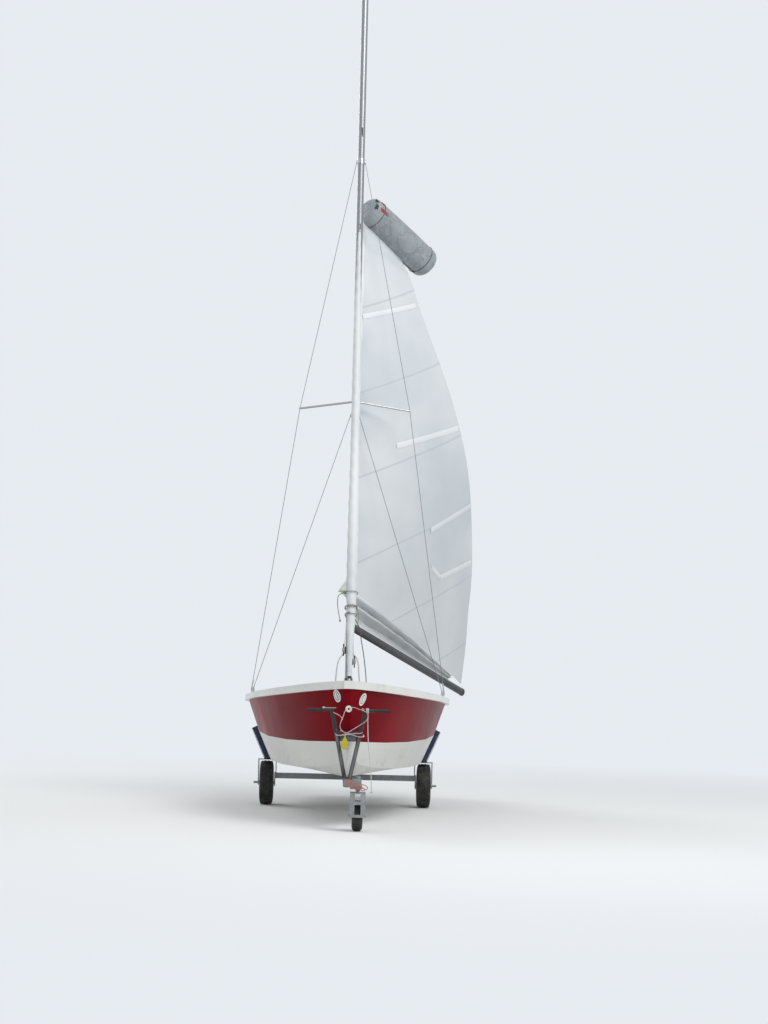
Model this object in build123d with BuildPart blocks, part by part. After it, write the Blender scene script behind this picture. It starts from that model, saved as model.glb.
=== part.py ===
"""A sailing dinghy with its mast up, parked on a three-wheeled launching trolley.

Millimetres, +Z up, ground at Z 0. Boat measures are taken across from the centre plane
(port is positive), aft from the stem head, and up from the ground.
"""

import os
from math import cos, radians, sin, tan

from build123d import *

os.makedirs("parts", exist_ok=True)

# Where the stem head's centre plane stands in the part's frame, whose origin is under the
# middle of the whole outline, the swung-out sail included.
CENTRE_X = -127
STEM_Y = -2792

# Hull. Each station holds the distance aft of the stem, the keel's height, then the half
# breadth and height of the lower chine, of the upper chine and of the deck edge.
STATIONS = (
    # aft, keel, lower_x, lower_z, upper_x, upper_z, edge_x, edge_z
    (0, 610, 8, 640, 11, 697, 16, 1160),
    (60, 515, 28, 562, 57, 694, 95, 1153),
    (200, 440, 92, 508, 152, 686, 228, 1139),
    (450, 391, 228, 474, 312, 677, 392, 1115),
    (900, 373, 395, 452, 502, 671, 600, 1079),
    (1500, 362, 545, 440, 668, 676, 775, 1041),
    (2200, 356, 655, 438, 768, 690, 875, 1004),
    (2900, 356, 690, 441, 806, 702, 905, 976),
    (3600, 364, 685, 450, 796, 704, 892, 954),
    (4250, 380, 640, 466, 748, 705, 838, 937),
    (4830, 402, 575, 486, 682, 706, 765, 925),
)
DECK_EDGE = 10  # thickness of the deck where it meets the hull
DECK_CROWN = 22  # rise of the deck from its edge to the centre plane
STRAKE_OUT = 24  # rubbing strake along the deck edge
STRAKE_DOWN = 0.115  # share of the topside that the strake covers
COCKPIT_FRONT = 1950
COCKPIT_BACK = 4080
COCKPIT_HALF = 540
COCKPIT_FLOOR = 520
COCKPIT_CORNER = 130
CLEAR = 0.3  # gap between curved faces that seat on each other

# Centreboard and its case
CASE_FRONT = 1990
CASE_BACK = 2990
CASE_HALF = 32
CASE_TOP = 822
SLOT_HALF = 14
BOARD_HALF = 11
BOARD_PIN = 8  # radius of the pin that the board turns on
BOARD_THICK = 12  # of a floorboard
FLOORBOARDS = (
    # middle from the centre plane, width, front, back
    (96, 84, 2100, 3960),
    (196, 84, 2100, 3960),
    (296, 84, 2120, 3940),
    (396, 84, 2160, 3900),
)
THWART_FRONT = 2800
THWART_DEPTH = 240
THWART_THICK = 28

# Mast and stays
MAST_AFT = 1620
STEP_HEIGHT = 57  # from the hull's edge up to the mast's foot
MAST_TOP = 7560
MAST_RAKE = 1.8
MAST_WIDE = 60
MAST_LONG = 74
GROOVE_WIDE = 6
GROOVE_DEEP = 10
HOUNDS = 5680
SPREADER_HEIGHT = 3572
SPREADER_REACH = 480
SPREADER_BACK = 120
SPREADER_DROP = 58
SPREADER_RADIUS = 9
LOWER_BAND = 3440
BAND_WALL = 4
TERMINAL = 6  # radius of the swaged end of a stay
WIRE = 2.5  # radius of a stay
CHAINPLATE_X = 838
CHAINPLATE_AFT = 2010
CHAINPLATE_UP = 62  # height of a shroud's end over the deck edge
CHAINPLATE_GAP = 18  # between the two shrouds of a side
STAY_AFT = 75
STAY_UP = 24
STEM_PLATE = 110  # length of the stem fitting
DRUM_UP = 4  # the furling drum over the end of the forestay
DRUM_RADIUS = 15
# The jib is rolled round the forestay. Each row holds a distance up the stay and a radius.
JIB_ROLL = ((18, 21), (237, 25), (420, 33), (788, 47), (1878, 41), (3078, 34), (4073, 14))

# Boom, mainsail and head float
BOOM_HEIGHT = 1630
BOOM_LENGTH = 2750
BOOM_OUT = 24.3  # swing to port from dead aft
BOOM_DROOP = 12
BOOM_START = 44  # from the gooseneck pin to the boom's front end
LUFF_ENTRY = 250  # start of the mast's luff groove over the boom
BOOM_WIDE = 56
BOOM_DEEP = 72
CAP_LIP = 2  # the end cap's rim over the boom
CAP_THICK = 28
LUG_INSIDE = 14
LUG_THICK = 6
PIN_RADIUS = 5
PIN_BEHIND = 17  # gooseneck pin behind the mast's back face
EYE_RADIUS = 11  # outer radius of the boom's eye
FIT = 0.05  # running fit of a pin in its eye
SAIL_THICK = 4
SAIL_IN = 8  # the luff's edge aft of the line that it turns about
SAIL_PANELS = 6  # flats that follow the camber
# Each level holds the luff's height, the leech's height, the swing from dead aft in
# degrees, the reach from the luff to the leech and the camber at mid chord.
SAIL_LEVELS = (
    # luff_z, leech_z, swing, reach, camber
    (1935, 1130, 24.8, 2620, 50),
    (2250, 1830, 29.4, 2330, 100),
    (2800, 2440, 35.1, 1980, 110),
    (3750, 3540, 43.0, 1400, 90),
    (4700, 4610, 42.0, 795, 45),
    (5235, 4960, 40.8, 600, 12),
)
FLOAT_RADIUS = 138
FLOAT_LENGTH = 855
FLOAT_ROUND = 60
FLOAT_X = 60  # middle of the float's inner end, to port of the luff
FLOAT_BACK = 170  # and aft of the luff
FLOAT_HEIGHT = 5320
FLOAT_SLOPE = 27.5
FLOAT_SWING = 48

# The gathered foot. Each row holds a reach along the boom and half a width.
GATHERS = ((70, 50), (320, 75), (800, 68), (1500, 48), (2350, 24))

# Launching trolley
AXLE_AFT = 3050
AXLE_HEIGHT = 200
WHEEL_X = 720
TYRE_RADIUS = 200
TYRE_WIDE = 125
RIM_RADIUS = 104
STUB_RADIUS = 12.5
BEAM = 50  # side of the square tubes
BEAM_HEIGHT = 265
BEAM_HALF = 650
BAR_FRONT = -150
BAR_FRONT_HEIGHT = 378
STUB_PLATE = 10  # thickness of the drop plate that carries a stub axle
POST_IN = 790  # inner face of the post outside a wheel
POST_THICK = 10
POST_DEEP = 30
STUB_END_RADIUS = 10  # of a stub axle's threaded end, outside the post
STUB_END = 38  # length of that end
HUB_RADIUS = 30
HUB_HALF = 52
HANDLE_AFT = -92
HANDLE_HEIGHT = 940
HANDLE_HALF = 322  # from the centre plane out to the end of a grip
HANDLE_RADIUS = 13
POST_TOP_X = 130
CROSSBAR_HEIGHT = 762
POST_RADIUS = 16
BOW_PAD_HALF = 62
BOW_PAD_LOW = 705
BOW_PAD_TOP = 772
BOW_PAD_BACK = 25  # how far aft of the stem its notch for the hull reaches
KEEL_CHOCKS = (820, AXLE_AFT)
CHOCK_HALF = 55
PAD_HALF = 125  # half of a bilge pad's length
PAD_THICK = 55
PAD_BOTTOM = 416
PAD_TOP = 716
PAD_ARM = 8
EYE_HEIGHT = 950  # ring on the stem
RING_OUTER = 26
RING_INNER = 8
RING_THICK = 12
JOCKEY_X = 86
JOCKEY_AFT = -40
JOCKEY_RADIUS = 120
JOCKEY_WIDE = 84
JOCKEY_TRAIL = 38
JOCKEY_AXLE = 8
STEM_RADIUS = 19  # upright tube of the jockey wheel
FORK_HALF = 54  # inner half width of the fork
FORK_WALL = 6
FORK_TOP = 306
FORK_FRONT = 138  # the fork's front, ahead of its wheel's axle
FORK_LOW = 114
FORK_WINDOWS = (
    # bottom, top, half width of each window in the fork's front plate
    (136, 212, 24),
    (240, 296, 21),
)

# Free cords
CORD_RADIUS = 4
PAINTER = (
    # across, aft, up
    (150, HANDLE_AFT, HANDLE_HEIGHT - HANDLE_RADIUS - CLEAR),
    (151, -94, 822),
    (156, -98, 716),
    (166, -101, 612),
    (179, -103, 508),
    (189, -105, 404),
    (192, -108, 302),
)
JIB_TAIL_UP = 728  # its start, up the forestay
JIB_TAIL = (
    # from its start on the rolled jib: across, aft, up
    (0, 0, 0),
    (-58, -4, -6),
    (-66, -9, -74),
    (-56, -13, -154),
    (-38, -15, -232),
)

# Rudder
RUDDER_AFT = 42  # its pin line, aft of the transom
GUDGEONS = (560, 830)
GUDGEON_HIGH = 30
STOCK_HALF = 20
STOCK_BACK = 20  # the stock's front face, aft of the pin line
BLADE_HALF = 10
PIVOT_BACK = 80  # the blade's pivot, aft of the pin line
PIVOT_HEIGHT = 600
PIVOT_RADIUS = 8
BLADE_ROOT = 38
BLADE_LENGTH = 900
BLADE_RAISED = 32  # degrees above dead aft
TILLER_LENGTH = 700
TILLER_HEIGHT = 980
TILLER_THICK = 22


def spot(x, aft, height):
    """A point of the boat in the part's frame."""
    return Vector(x + CENTRE_X, aft + STEM_Y, height)


def across(aft):
    """The upright plane across the boat: sketch x to port, sketch y up."""
    return Plane(origin=spot(0, aft, 0), x_dir=(1, 0, 0), z_dir=(0, -1, 0))


def level(height):
    """The level plane at a height: sketch x to port, sketch y aft of the stem."""
    return Plane(origin=spot(0, 0, height), x_dir=(1, 0, 0), z_dir=(0, 0, 1))


def beside(x):
    """The upright plane along the boat: sketch x aft, sketch y up."""
    return Plane(origin=spot(x, 0, 0), x_dir=(0, 1, 0), z_dir=(1, 0, 0))


def hull_at(aft):
    """The station's row at any distance aft, on the straight lines between stations."""
    for near, far in zip(STATIONS, STATIONS[1:]):
        if aft <= far[0]:
            break
    share = (aft - near[0]) / (far[0] - near[0])
    return [a + share * (b - a) for a, b in zip(near, far)]


def toward(swing, droop):
    """The direction at a swing from dead aft and a droop below level."""
    flat = cos(radians(droop))
    return Vector(flat * sin(radians(swing)), flat * cos(radians(swing)), -sin(radians(droop)))


def rod(start, end, radius):
    """A round bar between two points."""
    with BuildPart(mode=Mode.PRIVATE) as bar:
        with BuildSketch(Plane(origin=start, z_dir=end - start)):
            Circle(radius)
        extrude(amount=(end - start).length)
    return bar.part


def square_bar(start, end, side):
    """A square bar between two points, with its sides upright."""
    run = end - start
    flat = Vector(0, 0, 1).cross(run)
    with BuildPart(mode=Mode.PRIVATE) as bar:
        with BuildSketch(Plane(origin=start, x_dir=flat, z_dir=run)):
            Rectangle(side, side)
        extrude(amount=run.length)
    return bar.part


MAST_FOOT = hull_at(MAST_AFT)[7] + STEP_HEIGHT


def mast_aft(height):
    """How far aft of the stem the mast's middle line is at a height."""
    return MAST_AFT + (height - MAST_FOOT) * tan(radians(MAST_RAKE))


def pin_aft(height):
    """How far aft the line through the gooseneck pin and the luff is at a height."""
    return mast_aft(height) + MAST_LONG / 2 + PIN_BEHIND


def off_luff(height, swing, reach, drop=0, aside=0):
    """A point reached from the luff line at a swing from dead aft, and aside to port."""
    angle = radians(swing)
    x = reach * sin(angle) + aside * cos(angle)
    aft = pin_aft(height) + reach * cos(angle) - aside * sin(angle)
    return spot(x, aft, height - drop)


# The hull is one moulding up to the deck edge, with the cockpit let into it.
with BuildPart() as hull:
    for aft, keel, lower_x, lower_z, upper_x, upper_z, edge_x, edge_z in STATIONS:
        with BuildSketch(across(aft)):
            with BuildLine():
                Polyline(
                    (0, keel),
                    (lower_x, lower_z),
                    (upper_x, upper_z),
                    (edge_x, edge_z),
                    (-edge_x, edge_z),
                    (-upper_x, upper_z),
                    (-lower_x, lower_z),
                    close=True,
                )
            make_face()
    loft(ruled=True)
    with BuildSketch(level(COCKPIT_FLOOR)):
        with Locations((0, (COCKPIT_FRONT + COCKPIT_BACK) / 2)):
            RectangleRounded(2 * COCKPIT_HALF, COCKPIT_BACK - COCKPIT_FRONT, COCKPIT_CORNER)
    extrude(amount=STATIONS[0][7], mode=Mode.SUBTRACT)
    with BuildSketch(level(0)):
        with Locations((0, (CASE_FRONT + CASE_BACK) / 2)):
            Rectangle(2 * SLOT_HALF, CASE_BACK - CASE_FRONT - 2 * CASE_HALF)
    extrude(amount=COCKPIT_FLOOR, mode=Mode.SUBTRACT)
hull.part.label = "hull"
export_step(hull.part, "parts/hull.step")

# The deck lies on the hull's edge with a crown, and is open over the cockpit.
with BuildPart() as deck:
    for aft, *_, edge_x, edge_z in STATIONS:
        with BuildSketch(across(aft)):
            with BuildLine():
                Polyline(
                    (-edge_x, edge_z),
                    (edge_x, edge_z),
                    (edge_x, edge_z + DECK_EDGE),
                    (0, edge_z + DECK_EDGE + DECK_CROWN * min(1, edge_x / COCKPIT_HALF)),
                    (-edge_x, edge_z + DECK_EDGE),
                    close=True,
                )
            make_face()
    loft(ruled=True)
    with BuildSketch(level(0)):
        with Locations((0, (COCKPIT_FRONT + COCKPIT_BACK) / 2)):
            RectangleRounded(2 * COCKPIT_HALF, COCKPIT_BACK - COCKPIT_FRONT, COCKPIT_CORNER)
    extrude(amount=2 * STATIONS[0][7], mode=Mode.SUBTRACT)
deck.part.label = "deck"
export_step(deck.part, "parts/deck.step")

# The rubbing strake follows the deck edge on each side and meets at the stem.
with BuildPart() as rubbing_strake:
    for side in (1, -1):
        with BuildPart(mode=Mode.PRIVATE) as run:
            for aft, *_, upper_x, upper_z, edge_x, edge_z in STATIONS:
                low_x = edge_x + STRAKE_DOWN * (upper_x - edge_x)
                low_z = edge_z + STRAKE_DOWN * (upper_z - edge_z)
                with BuildSketch(across(aft)):
                    with BuildLine():
                        Polyline(
                            (side * edge_x, edge_z + DECK_EDGE),
                            (side * edge_x, edge_z),
                            (side * low_x, low_z),
                            (side * (edge_x + STRAKE_OUT), low_z),
                            (side * (edge_x + STRAKE_OUT), edge_z + DECK_EDGE),
                            close=True,
                        )
                    make_face()
            loft(ruled=True)
        add(run.part)
    stem_low = STATIONS[0][7] + STRAKE_DOWN * (STATIONS[0][5] - STATIONS[0][7])
    with BuildSketch(level(stem_low)):
        with Locations((0, -STRAKE_OUT / 2)):
            Rectangle(2 * (STATIONS[0][6] + STRAKE_OUT), STRAKE_OUT)
    extrude(amount=STATIONS[0][7] + DECK_EDGE - stem_low)
rubbing_strake.part.label = "rubbing_strake"
export_step(rubbing_strake.part, "parts/rubbing_strake.step")

# Cockpit fittings
with BuildPart() as centreboard_case:
    with BuildSketch(level(COCKPIT_FLOOR)):
        with Locations((0, (CASE_FRONT + CASE_BACK) / 2)):
            Rectangle(2 * CASE_HALF, CASE_BACK - CASE_FRONT)
            Rectangle(2 * SLOT_HALF, CASE_BACK - CASE_FRONT - 2 * CASE_HALF, mode=Mode.SUBTRACT)
    extrude(amount=CASE_TOP - COCKPIT_FLOOR)
centreboard_case.part.label = "centreboard_case"
export_step(centreboard_case.part, "parts/centreboard_case.step")

board_low = hull_at(CASE_FRONT)[1] + 20
with BuildPart() as centreboard:
    with BuildSketch(beside(-BOARD_HALF)):
        with BuildLine():
            Polyline(
                (CASE_FRONT + 2 * CASE_HALF, board_low),
                (CASE_BACK - 2 * CASE_HALF, board_low),
                (CASE_BACK - 2 * CASE_HALF, CASE_TOP - 30),
                (THWART_FRONT - 10, CASE_TOP - 30),
                (THWART_FRONT - 60, CASE_TOP + 35),
                (CASE_FRONT + 250, CASE_TOP + 35),
                (CASE_FRONT + 2 * CASE_HALF, CASE_TOP - 60),
                close=True,
            )
        make_face()
    extrude(amount=2 * BOARD_HALF)
    with BuildSketch(beside(-SLOT_HALF)):
        with Locations((CASE_FRONT + 2 * CASE_HALF + 60, COCKPIT_FLOOR + 60)):
            Circle(BOARD_PIN)
    extrude(amount=2 * SLOT_HALF)
centreboard.part.label = "centreboard"
export_step(centreboard.part, "parts/centreboard.step")

with BuildPart() as floorboards:
    with BuildSketch(level(COCKPIT_FLOOR)):
        for x, width, front, back in FLOORBOARDS:
            for side in (1, -1):
                with Locations((side * x, (front + back) / 2)):
                    Rectangle(width, back - front)
    extrude(amount=BOARD_THICK)
floorboards.part.label = "floorboards"
export_step(floorboards.part, "parts/floorboards.step")

with BuildPart() as thwart:
    with BuildSketch(level(CASE_TOP)):
        with Locations((0, THWART_FRONT + THWART_DEPTH / 2)):
            RectangleRounded(2 * COCKPIT_HALF, THWART_DEPTH, 20)
    extrude(amount=THWART_THICK)
thwart.part.label = "thwart"
export_step(thwart.part, "parts/thwart.step")

# Mast with its step, bands, spreaders and stays
mast_line = Plane(
    origin=spot(0, MAST_AFT, MAST_FOOT),
    x_dir=(1, 0, 0),
    z_dir=(0, sin(radians(MAST_RAKE)), cos(radians(MAST_RAKE))),
)


def mast_solid(foot, top, grown):
    """The mast's own oval between two heights, grown all round."""
    slant = 1 / cos(radians(MAST_RAKE))
    with BuildPart(mode=Mode.PRIVATE) as oval:
        with BuildSketch(mast_line.offset((foot - MAST_FOOT) * slant)):
            Ellipse(MAST_WIDE / 2 + grown, MAST_LONG / 2 + grown)
        extrude(amount=(top - foot) * slant)
    return oval.part


with BuildPart() as mast:
    add(mast_solid(MAST_FOOT, MAST_TOP, 0))
    with BuildSketch(mast_line.offset(BOOM_HEIGHT + LUFF_ENTRY - MAST_FOOT)):
        with Locations((0, MAST_LONG / 2)):
            Rectangle(GROOVE_WIDE, 2 * GROOVE_DEEP)
    extrude(amount=2 * MAST_TOP, mode=Mode.SUBTRACT)
mast.part.label = "mast"
export_step(mast.part, "parts/mast.step")

deck_at_mast = hull_at(MAST_AFT)[7] + DECK_EDGE
with BuildPart() as mast_step:
    with BuildSketch(level(deck_at_mast)):
        with Locations((0, MAST_AFT)):
            Rectangle(MAST_WIDE + 50, MAST_LONG + 90)
    extrude(amount=MAST_FOOT - deck_at_mast)
    with BuildSketch(level(MAST_FOOT)):
        with Locations((-MAST_WIDE / 2 - 5, MAST_AFT), (MAST_WIDE / 2 + 5, MAST_AFT)):
            Rectangle(6, MAST_LONG + 50)
    extrude(amount=90)
    add(deck.part, mode=Mode.SUBTRACT)
    add(mast.part, mode=Mode.SUBTRACT)
mast_step.part.label = "mast_step"
export_step(mast_step.part, "parts/mast_step.step")

# The ends of the stays: chainplates at the deck edge, spreader tips and bands on the mast.
deck_at_chainplate = hull_at(CHAINPLATE_AFT)[7] + DECK_EDGE
band_edge = MAST_WIDE / 2 + BAND_WALL + TERMINAL
tip_aft = mast_aft(SPREADER_HEIGHT) + SPREADER_BACK
stay_lines = []
for side in (1, -1):
    cap_foot = spot(side * CHAINPLATE_X, CHAINPLATE_AFT, deck_at_chainplate + CHAINPLATE_UP)
    cap_tip = spot(side * SPREADER_REACH, tip_aft, SPREADER_HEIGHT - SPREADER_DROP)
    cap_head = spot(side * band_edge, mast_aft(HOUNDS), HOUNDS)
    low_foot = cap_foot - Vector(side * CHAINPLATE_GAP, 0, 0)
    low_head = spot(side * band_edge, mast_aft(LOWER_BAND), LOWER_BAND)
    stay_lines.append((cap_foot, cap_tip, cap_head, low_foot, low_head))

with BuildPart() as shrouds:
    for cap_foot, cap_tip, cap_head, low_foot, low_head in stay_lines:
        add(rod(cap_foot, cap_tip, WIRE))
        add(rod(cap_tip, cap_head, WIRE))
        add(rod(low_foot, low_head, WIRE))
shrouds.part.label = "shrouds"
export_step(shrouds.part, "parts/shrouds.step")

with BuildPart() as chainplates:
    for cap_foot, cap_tip, cap_head, low_foot, low_head in stay_lines:
        for foot, head in ((cap_foot, cap_tip), (low_foot, low_head)):
            add(rod(foot, foot + (foot - head).normalized() * CHAINPLATE_UP * 0.6, TERMINAL))
        middle = (cap_foot + low_foot) * 0.5
        with BuildSketch(Plane(origin=(middle.X, middle.Y, deck_at_chainplate))):
            Rectangle(CHAINPLATE_GAP + 2 * TERMINAL, 5)
        extrude(amount=CHAINPLATE_UP * 0.7)
    add(deck.part, mode=Mode.SUBTRACT)
chainplates.part.label = "chainplates"
export_step(chainplates.part, "parts/chainplates.step")

with BuildPart() as spreaders:
    for cap_foot, cap_tip, cap_head, low_foot, low_head in stay_lines:
        root = spot(0, mast_aft(SPREADER_HEIGHT), SPREADER_HEIGHT)
        run = (cap_tip - root).normalized()
        add(rod(root, cap_tip + run * SPREADER_RADIUS / 2, SPREADER_RADIUS))
        add(rod(cap_foot, cap_tip, WIRE + CLEAR), mode=Mode.SUBTRACT)
        add(rod(cap_tip, cap_head, WIRE + CLEAR), mode=Mode.SUBTRACT)
    add(mast_solid(LOWER_BAND, HOUNDS, CLEAR), mode=Mode.SUBTRACT)
spreaders.part.label = "spreaders"
export_step(spreaders.part, "parts/spreaders.step")

# The forestay runs from the stem fitting to the upper band, inside the rolled jib.
deck_at_stem = hull_at(STAY_AFT)[7] + DECK_EDGE
stay_foot = spot(0, STAY_AFT, deck_at_stem + STAY_UP)
stay_head = spot(0, mast_aft(HOUNDS) - MAST_LONG / 2 - BAND_WALL - TERMINAL, HOUNDS)
stay_run = (stay_head - stay_foot).normalized()
stay_plane = Plane(origin=stay_foot, x_dir=(1, 0, 0), z_dir=stay_run)
with BuildPart() as forestay:
    add(rod(stay_foot, stay_head, WIRE))
forestay.part.label = "forestay"
export_step(forestay.part, "parts/forestay.step")

with BuildPart() as mast_bands:
    for foot in (LOWER_BAND, HOUNDS):
        add(mast_solid(foot - 8, foot + 42, BAND_WALL))
    for cap_foot, cap_tip, cap_head, low_foot, low_head in stay_lines:
        add(rod(cap_head, cap_head + (cap_head - cap_tip).normalized() * 30, TERMINAL))
        add(rod(low_head, low_head + (low_head - low_foot).normalized() * 30, TERMINAL))
    add(rod(stay_head, stay_head + stay_run * 30, TERMINAL))
    add(mast_solid(LOWER_BAND - 50, HOUNDS + 100, CLEAR), mode=Mode.SUBTRACT)
mast_bands.part.label = "mast_bands"
export_step(mast_bands.part, "parts/mast_bands.step")

with BuildPart() as stem_fitting:
    with BuildSketch(level(deck_at_stem)):
        with Locations((0, STAY_AFT)):
            Rectangle(4 * TERMINAL, STEM_PLATE)
    extrude(amount=STAY_UP * 0.6)
    add(rod(stay_foot, stay_foot - stay_run * STAY_UP * 0.6, TERMINAL))
    add(deck.part, mode=Mode.SUBTRACT)
    add(rubbing_strake.part, mode=Mode.SUBTRACT)
stem_fitting.part.label = "stem_fitting"
export_step(stem_fitting.part, "parts/stem_fitting.step")

with BuildPart() as furling_drum:
    with BuildSketch(stay_plane.offset(DRUM_UP)):
        Circle(DRUM_RADIUS)
        Circle(WIRE + CLEAR, mode=Mode.SUBTRACT)
    extrude(amount=JIB_ROLL[0][0] - DRUM_UP - CLEAR)
furling_drum.part.label = "furling_drum"
export_step(furling_drum.part, "parts/furling_drum.step")

with BuildPart() as furled_jib:
    for (near, small), (far, large) in zip(JIB_ROLL, JIB_ROLL[1:]):
        with BuildSketch(stay_plane.offset(near)):
            Circle(small)
        with BuildSketch(stay_plane.offset(far)):
            Circle(large)
        loft()
    with BuildSketch(stay_plane):
        Circle(WIRE + CLEAR)
    extrude(amount=2 * JIB_ROLL[-1][0], mode=Mode.SUBTRACT)
furled_jib.part.label = "furled_jib"
export_step(furled_jib.part, "parts/furled_jib.step")

# Gooseneck: two lugs on the mast hold a pin, and the boom's eye turns on it.
pin_line = Plane(
    origin=spot(0, pin_aft(BOOM_HEIGHT), BOOM_HEIGHT),
    x_dir=(1, 0, 0),
    z_dir=mast_line.z_dir,
)
boom_run = toward(BOOM_OUT, BOOM_DROOP)
with BuildPart() as gooseneck:
    for near in (-LUG_INSIDE - LUG_THICK, LUG_INSIDE):
        with BuildSketch(pin_line.offset(near)):
            Circle(EYE_RADIUS)
            with Locations((0, PIN_BEHIND / -2 - 3)):
                Rectangle(2 * EYE_RADIUS, PIN_BEHIND + 6)
        extrude(amount=LUG_THICK)
    with BuildSketch(pin_line.offset(-LUG_INSIDE - 2 * LUG_THICK)):
        with Locations((0, 2 - PIN_BEHIND)):
            Rectangle(2 * EYE_RADIUS + 8, 4)
        with Locations((0, -PIN_BEHIND - 3)):
            Rectangle(2 * EYE_RADIUS + 8, 6)
    extrude(amount=2 * LUG_INSIDE + 4 * LUG_THICK)
    with BuildSketch(pin_line.offset(-LUG_INSIDE - LUG_THICK)):
        Circle(PIN_RADIUS)
    extrude(amount=2 * LUG_INSIDE + 2 * LUG_THICK)
    add(mast_solid(BOOM_HEIGHT - 100, BOOM_HEIGHT + 100, CLEAR), mode=Mode.SUBTRACT)
gooseneck.part.label = "gooseneck"
export_step(gooseneck.part, "parts/gooseneck.step")

boom_front = pin_line.origin + boom_run * BOOM_START
with BuildPart() as boom:
    with BuildSketch(Plane(origin=boom_front, x_dir=toward(BOOM_OUT + 90, 0), z_dir=boom_run)):
        Ellipse(BOOM_WIDE / 2, BOOM_DEEP / 2)
    extrude(amount=BOOM_LENGTH - BOOM_START)
boom.part.label = "boom"
export_step(boom.part, "parts/boom.step")

with BuildPart() as boom_cap:
    boom_back = pin_line.origin + boom_run * BOOM_LENGTH
    with BuildSketch(Plane(origin=boom_back, x_dir=toward(BOOM_OUT + 90, 0), z_dir=boom_run)):
        Ellipse(BOOM_WIDE / 2 + CAP_LIP, BOOM_DEEP / 2 + CAP_LIP)
    extrude(amount=CAP_THICK)
boom_cap.part.label = "boom_cap"
export_step(boom_cap.part, "parts/boom_cap.step")

with BuildPart() as boom_toggle:
    with BuildSketch(pin_line.offset(1 - LUG_INSIDE)):
        Circle(EYE_RADIUS)
    extrude(amount=2 * LUG_INSIDE - 2)
    with BuildSketch(Plane(origin=pin_line.origin, x_dir=toward(BOOM_OUT + 90, 0), z_dir=boom_run)):
        Rectangle(2 * EYE_RADIUS - 4, 2 * EYE_RADIUS)
    extrude(amount=BOOM_START)
    with BuildSketch(pin_line.offset(-3 * LUG_INSIDE)):
        Circle(PIN_RADIUS + FIT)
    extrude(amount=6 * LUG_INSIDE, mode=Mode.SUBTRACT)
boom_toggle.part.label = "boom_toggle"
export_step(boom_toggle.part, "parts/boom_toggle.step")


def sail_point(luff, leech, swing, reach, camber, share, aside=0):
    """A point a share of the way from luff to leech on one level of the mainsail."""
    belly = 4 * camber * share * (1 - share)
    drop = share * (luff - leech)
    return off_luff(luff, swing, SAIL_IN + share * (reach - SAIL_IN), drop, belly + aside)


# The head float is a padded cylinder with rounded ends, laced along the sail's head.
float_middle = spot(FLOAT_X, pin_aft(FLOAT_HEIGHT) + FLOAT_BACK, FLOAT_HEIGHT)
float_run = toward(FLOAT_SWING, FLOAT_SLOPE)
float_plane = Plane(origin=float_middle, x_dir=toward(FLOAT_SWING + 90, 0), z_dir=float_run)
with BuildPart() as head_float:
    with BuildSketch(float_plane):
        Circle(FLOAT_RADIUS)
    extrude(amount=FLOAT_LENGTH)
    fillet(head_float.edges().filter_by(GeomType.CIRCLE), FLOAT_ROUND)
head_float.part.label = "head_float"
export_step(head_float.part, "parts/head_float.step")

with BuildPart() as mainsail:
    shares = [n / SAIL_PANELS for n in range(SAIL_PANELS + 1)]
    for row in SAIL_LEVELS:
        front = [sail_point(*row, share, SAIL_THICK / 2) for share in shares]
        back = [sail_point(*row, share, -SAIL_THICK / 2) for share in reversed(shares)]
        chord = (front[-1] - front[0]).normalized()
        flat = toward(row[2] + 90, 0)
        with BuildSketch(Plane(origin=front[0], x_dir=chord, z_dir=chord.cross(flat))) as outline:
            with BuildLine():
                Polyline(*[outline.workplanes[0].to_local_coords(p) for p in front + back], close=True)
            make_face()
    loft(ruled=True)
    with BuildSketch(float_plane.offset(-CLEAR)):
        Circle(FLOAT_RADIUS + CLEAR)
    extrude(amount=FLOAT_LENGTH + 2 * CLEAR, mode=Mode.SUBTRACT)
mainsail.part.label = "mainsail"
export_step(mainsail.part, "parts/mainsail.step")

# The foot of the sail is gathered along the top of the boom, under the set part.
foot_row = SAIL_LEVELS[0]
foot_luff = sail_point(*foot_row, 0) - pin_line.origin
foot_leech = sail_point(*foot_row, 1) - pin_line.origin
along = toward(BOOM_OUT, 0)
with BuildPart() as gathered_foot:
    for reach, half in GATHERS:
        share = (reach - foot_luff.dot(along)) / (foot_leech - foot_luff).dot(along)
        top = sail_point(*foot_row, share)
        boom_z = BOOM_HEIGHT - reach * tan(radians(BOOM_DROOP))
        base_z = boom_z + BOOM_DEEP / 2 / cos(radians(BOOM_DROOP))
        belly = (top - pin_line.origin).dot(toward(BOOM_OUT + 90, 0))
        low = base_z + CLEAR
        high = top.Z - CLEAR
        origin = off_luff(BOOM_HEIGHT, BOOM_OUT, reach)
        with BuildSketch(Plane(origin=(origin.X, origin.Y, 0), x_dir=toward(BOOM_OUT + 90, 0),
                               z_dir=toward(BOOM_OUT, 0) * -1)):
            with BuildLine():
                Polyline(
                    (-half / 3, low),
                    (half / 3, low),
                    (half, low + 0.3 * (high - low)),
                    (half * 0.7 + belly / 2, low + 0.7 * (high - low)),
                    (belly + half / 8, high),
                    (belly - half / 8, high),
                    (-half * 0.7 + belly / 2, low + 0.7 * (high - low)),
                    (-half, low + 0.3 * (high - low)),
                    close=True,
                )
            make_face()
    loft(ruled=True)
gathered_foot.part.label = "gathered_foot"
export_step(gathered_foot.part, "parts/gathered_foot.step")

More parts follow.
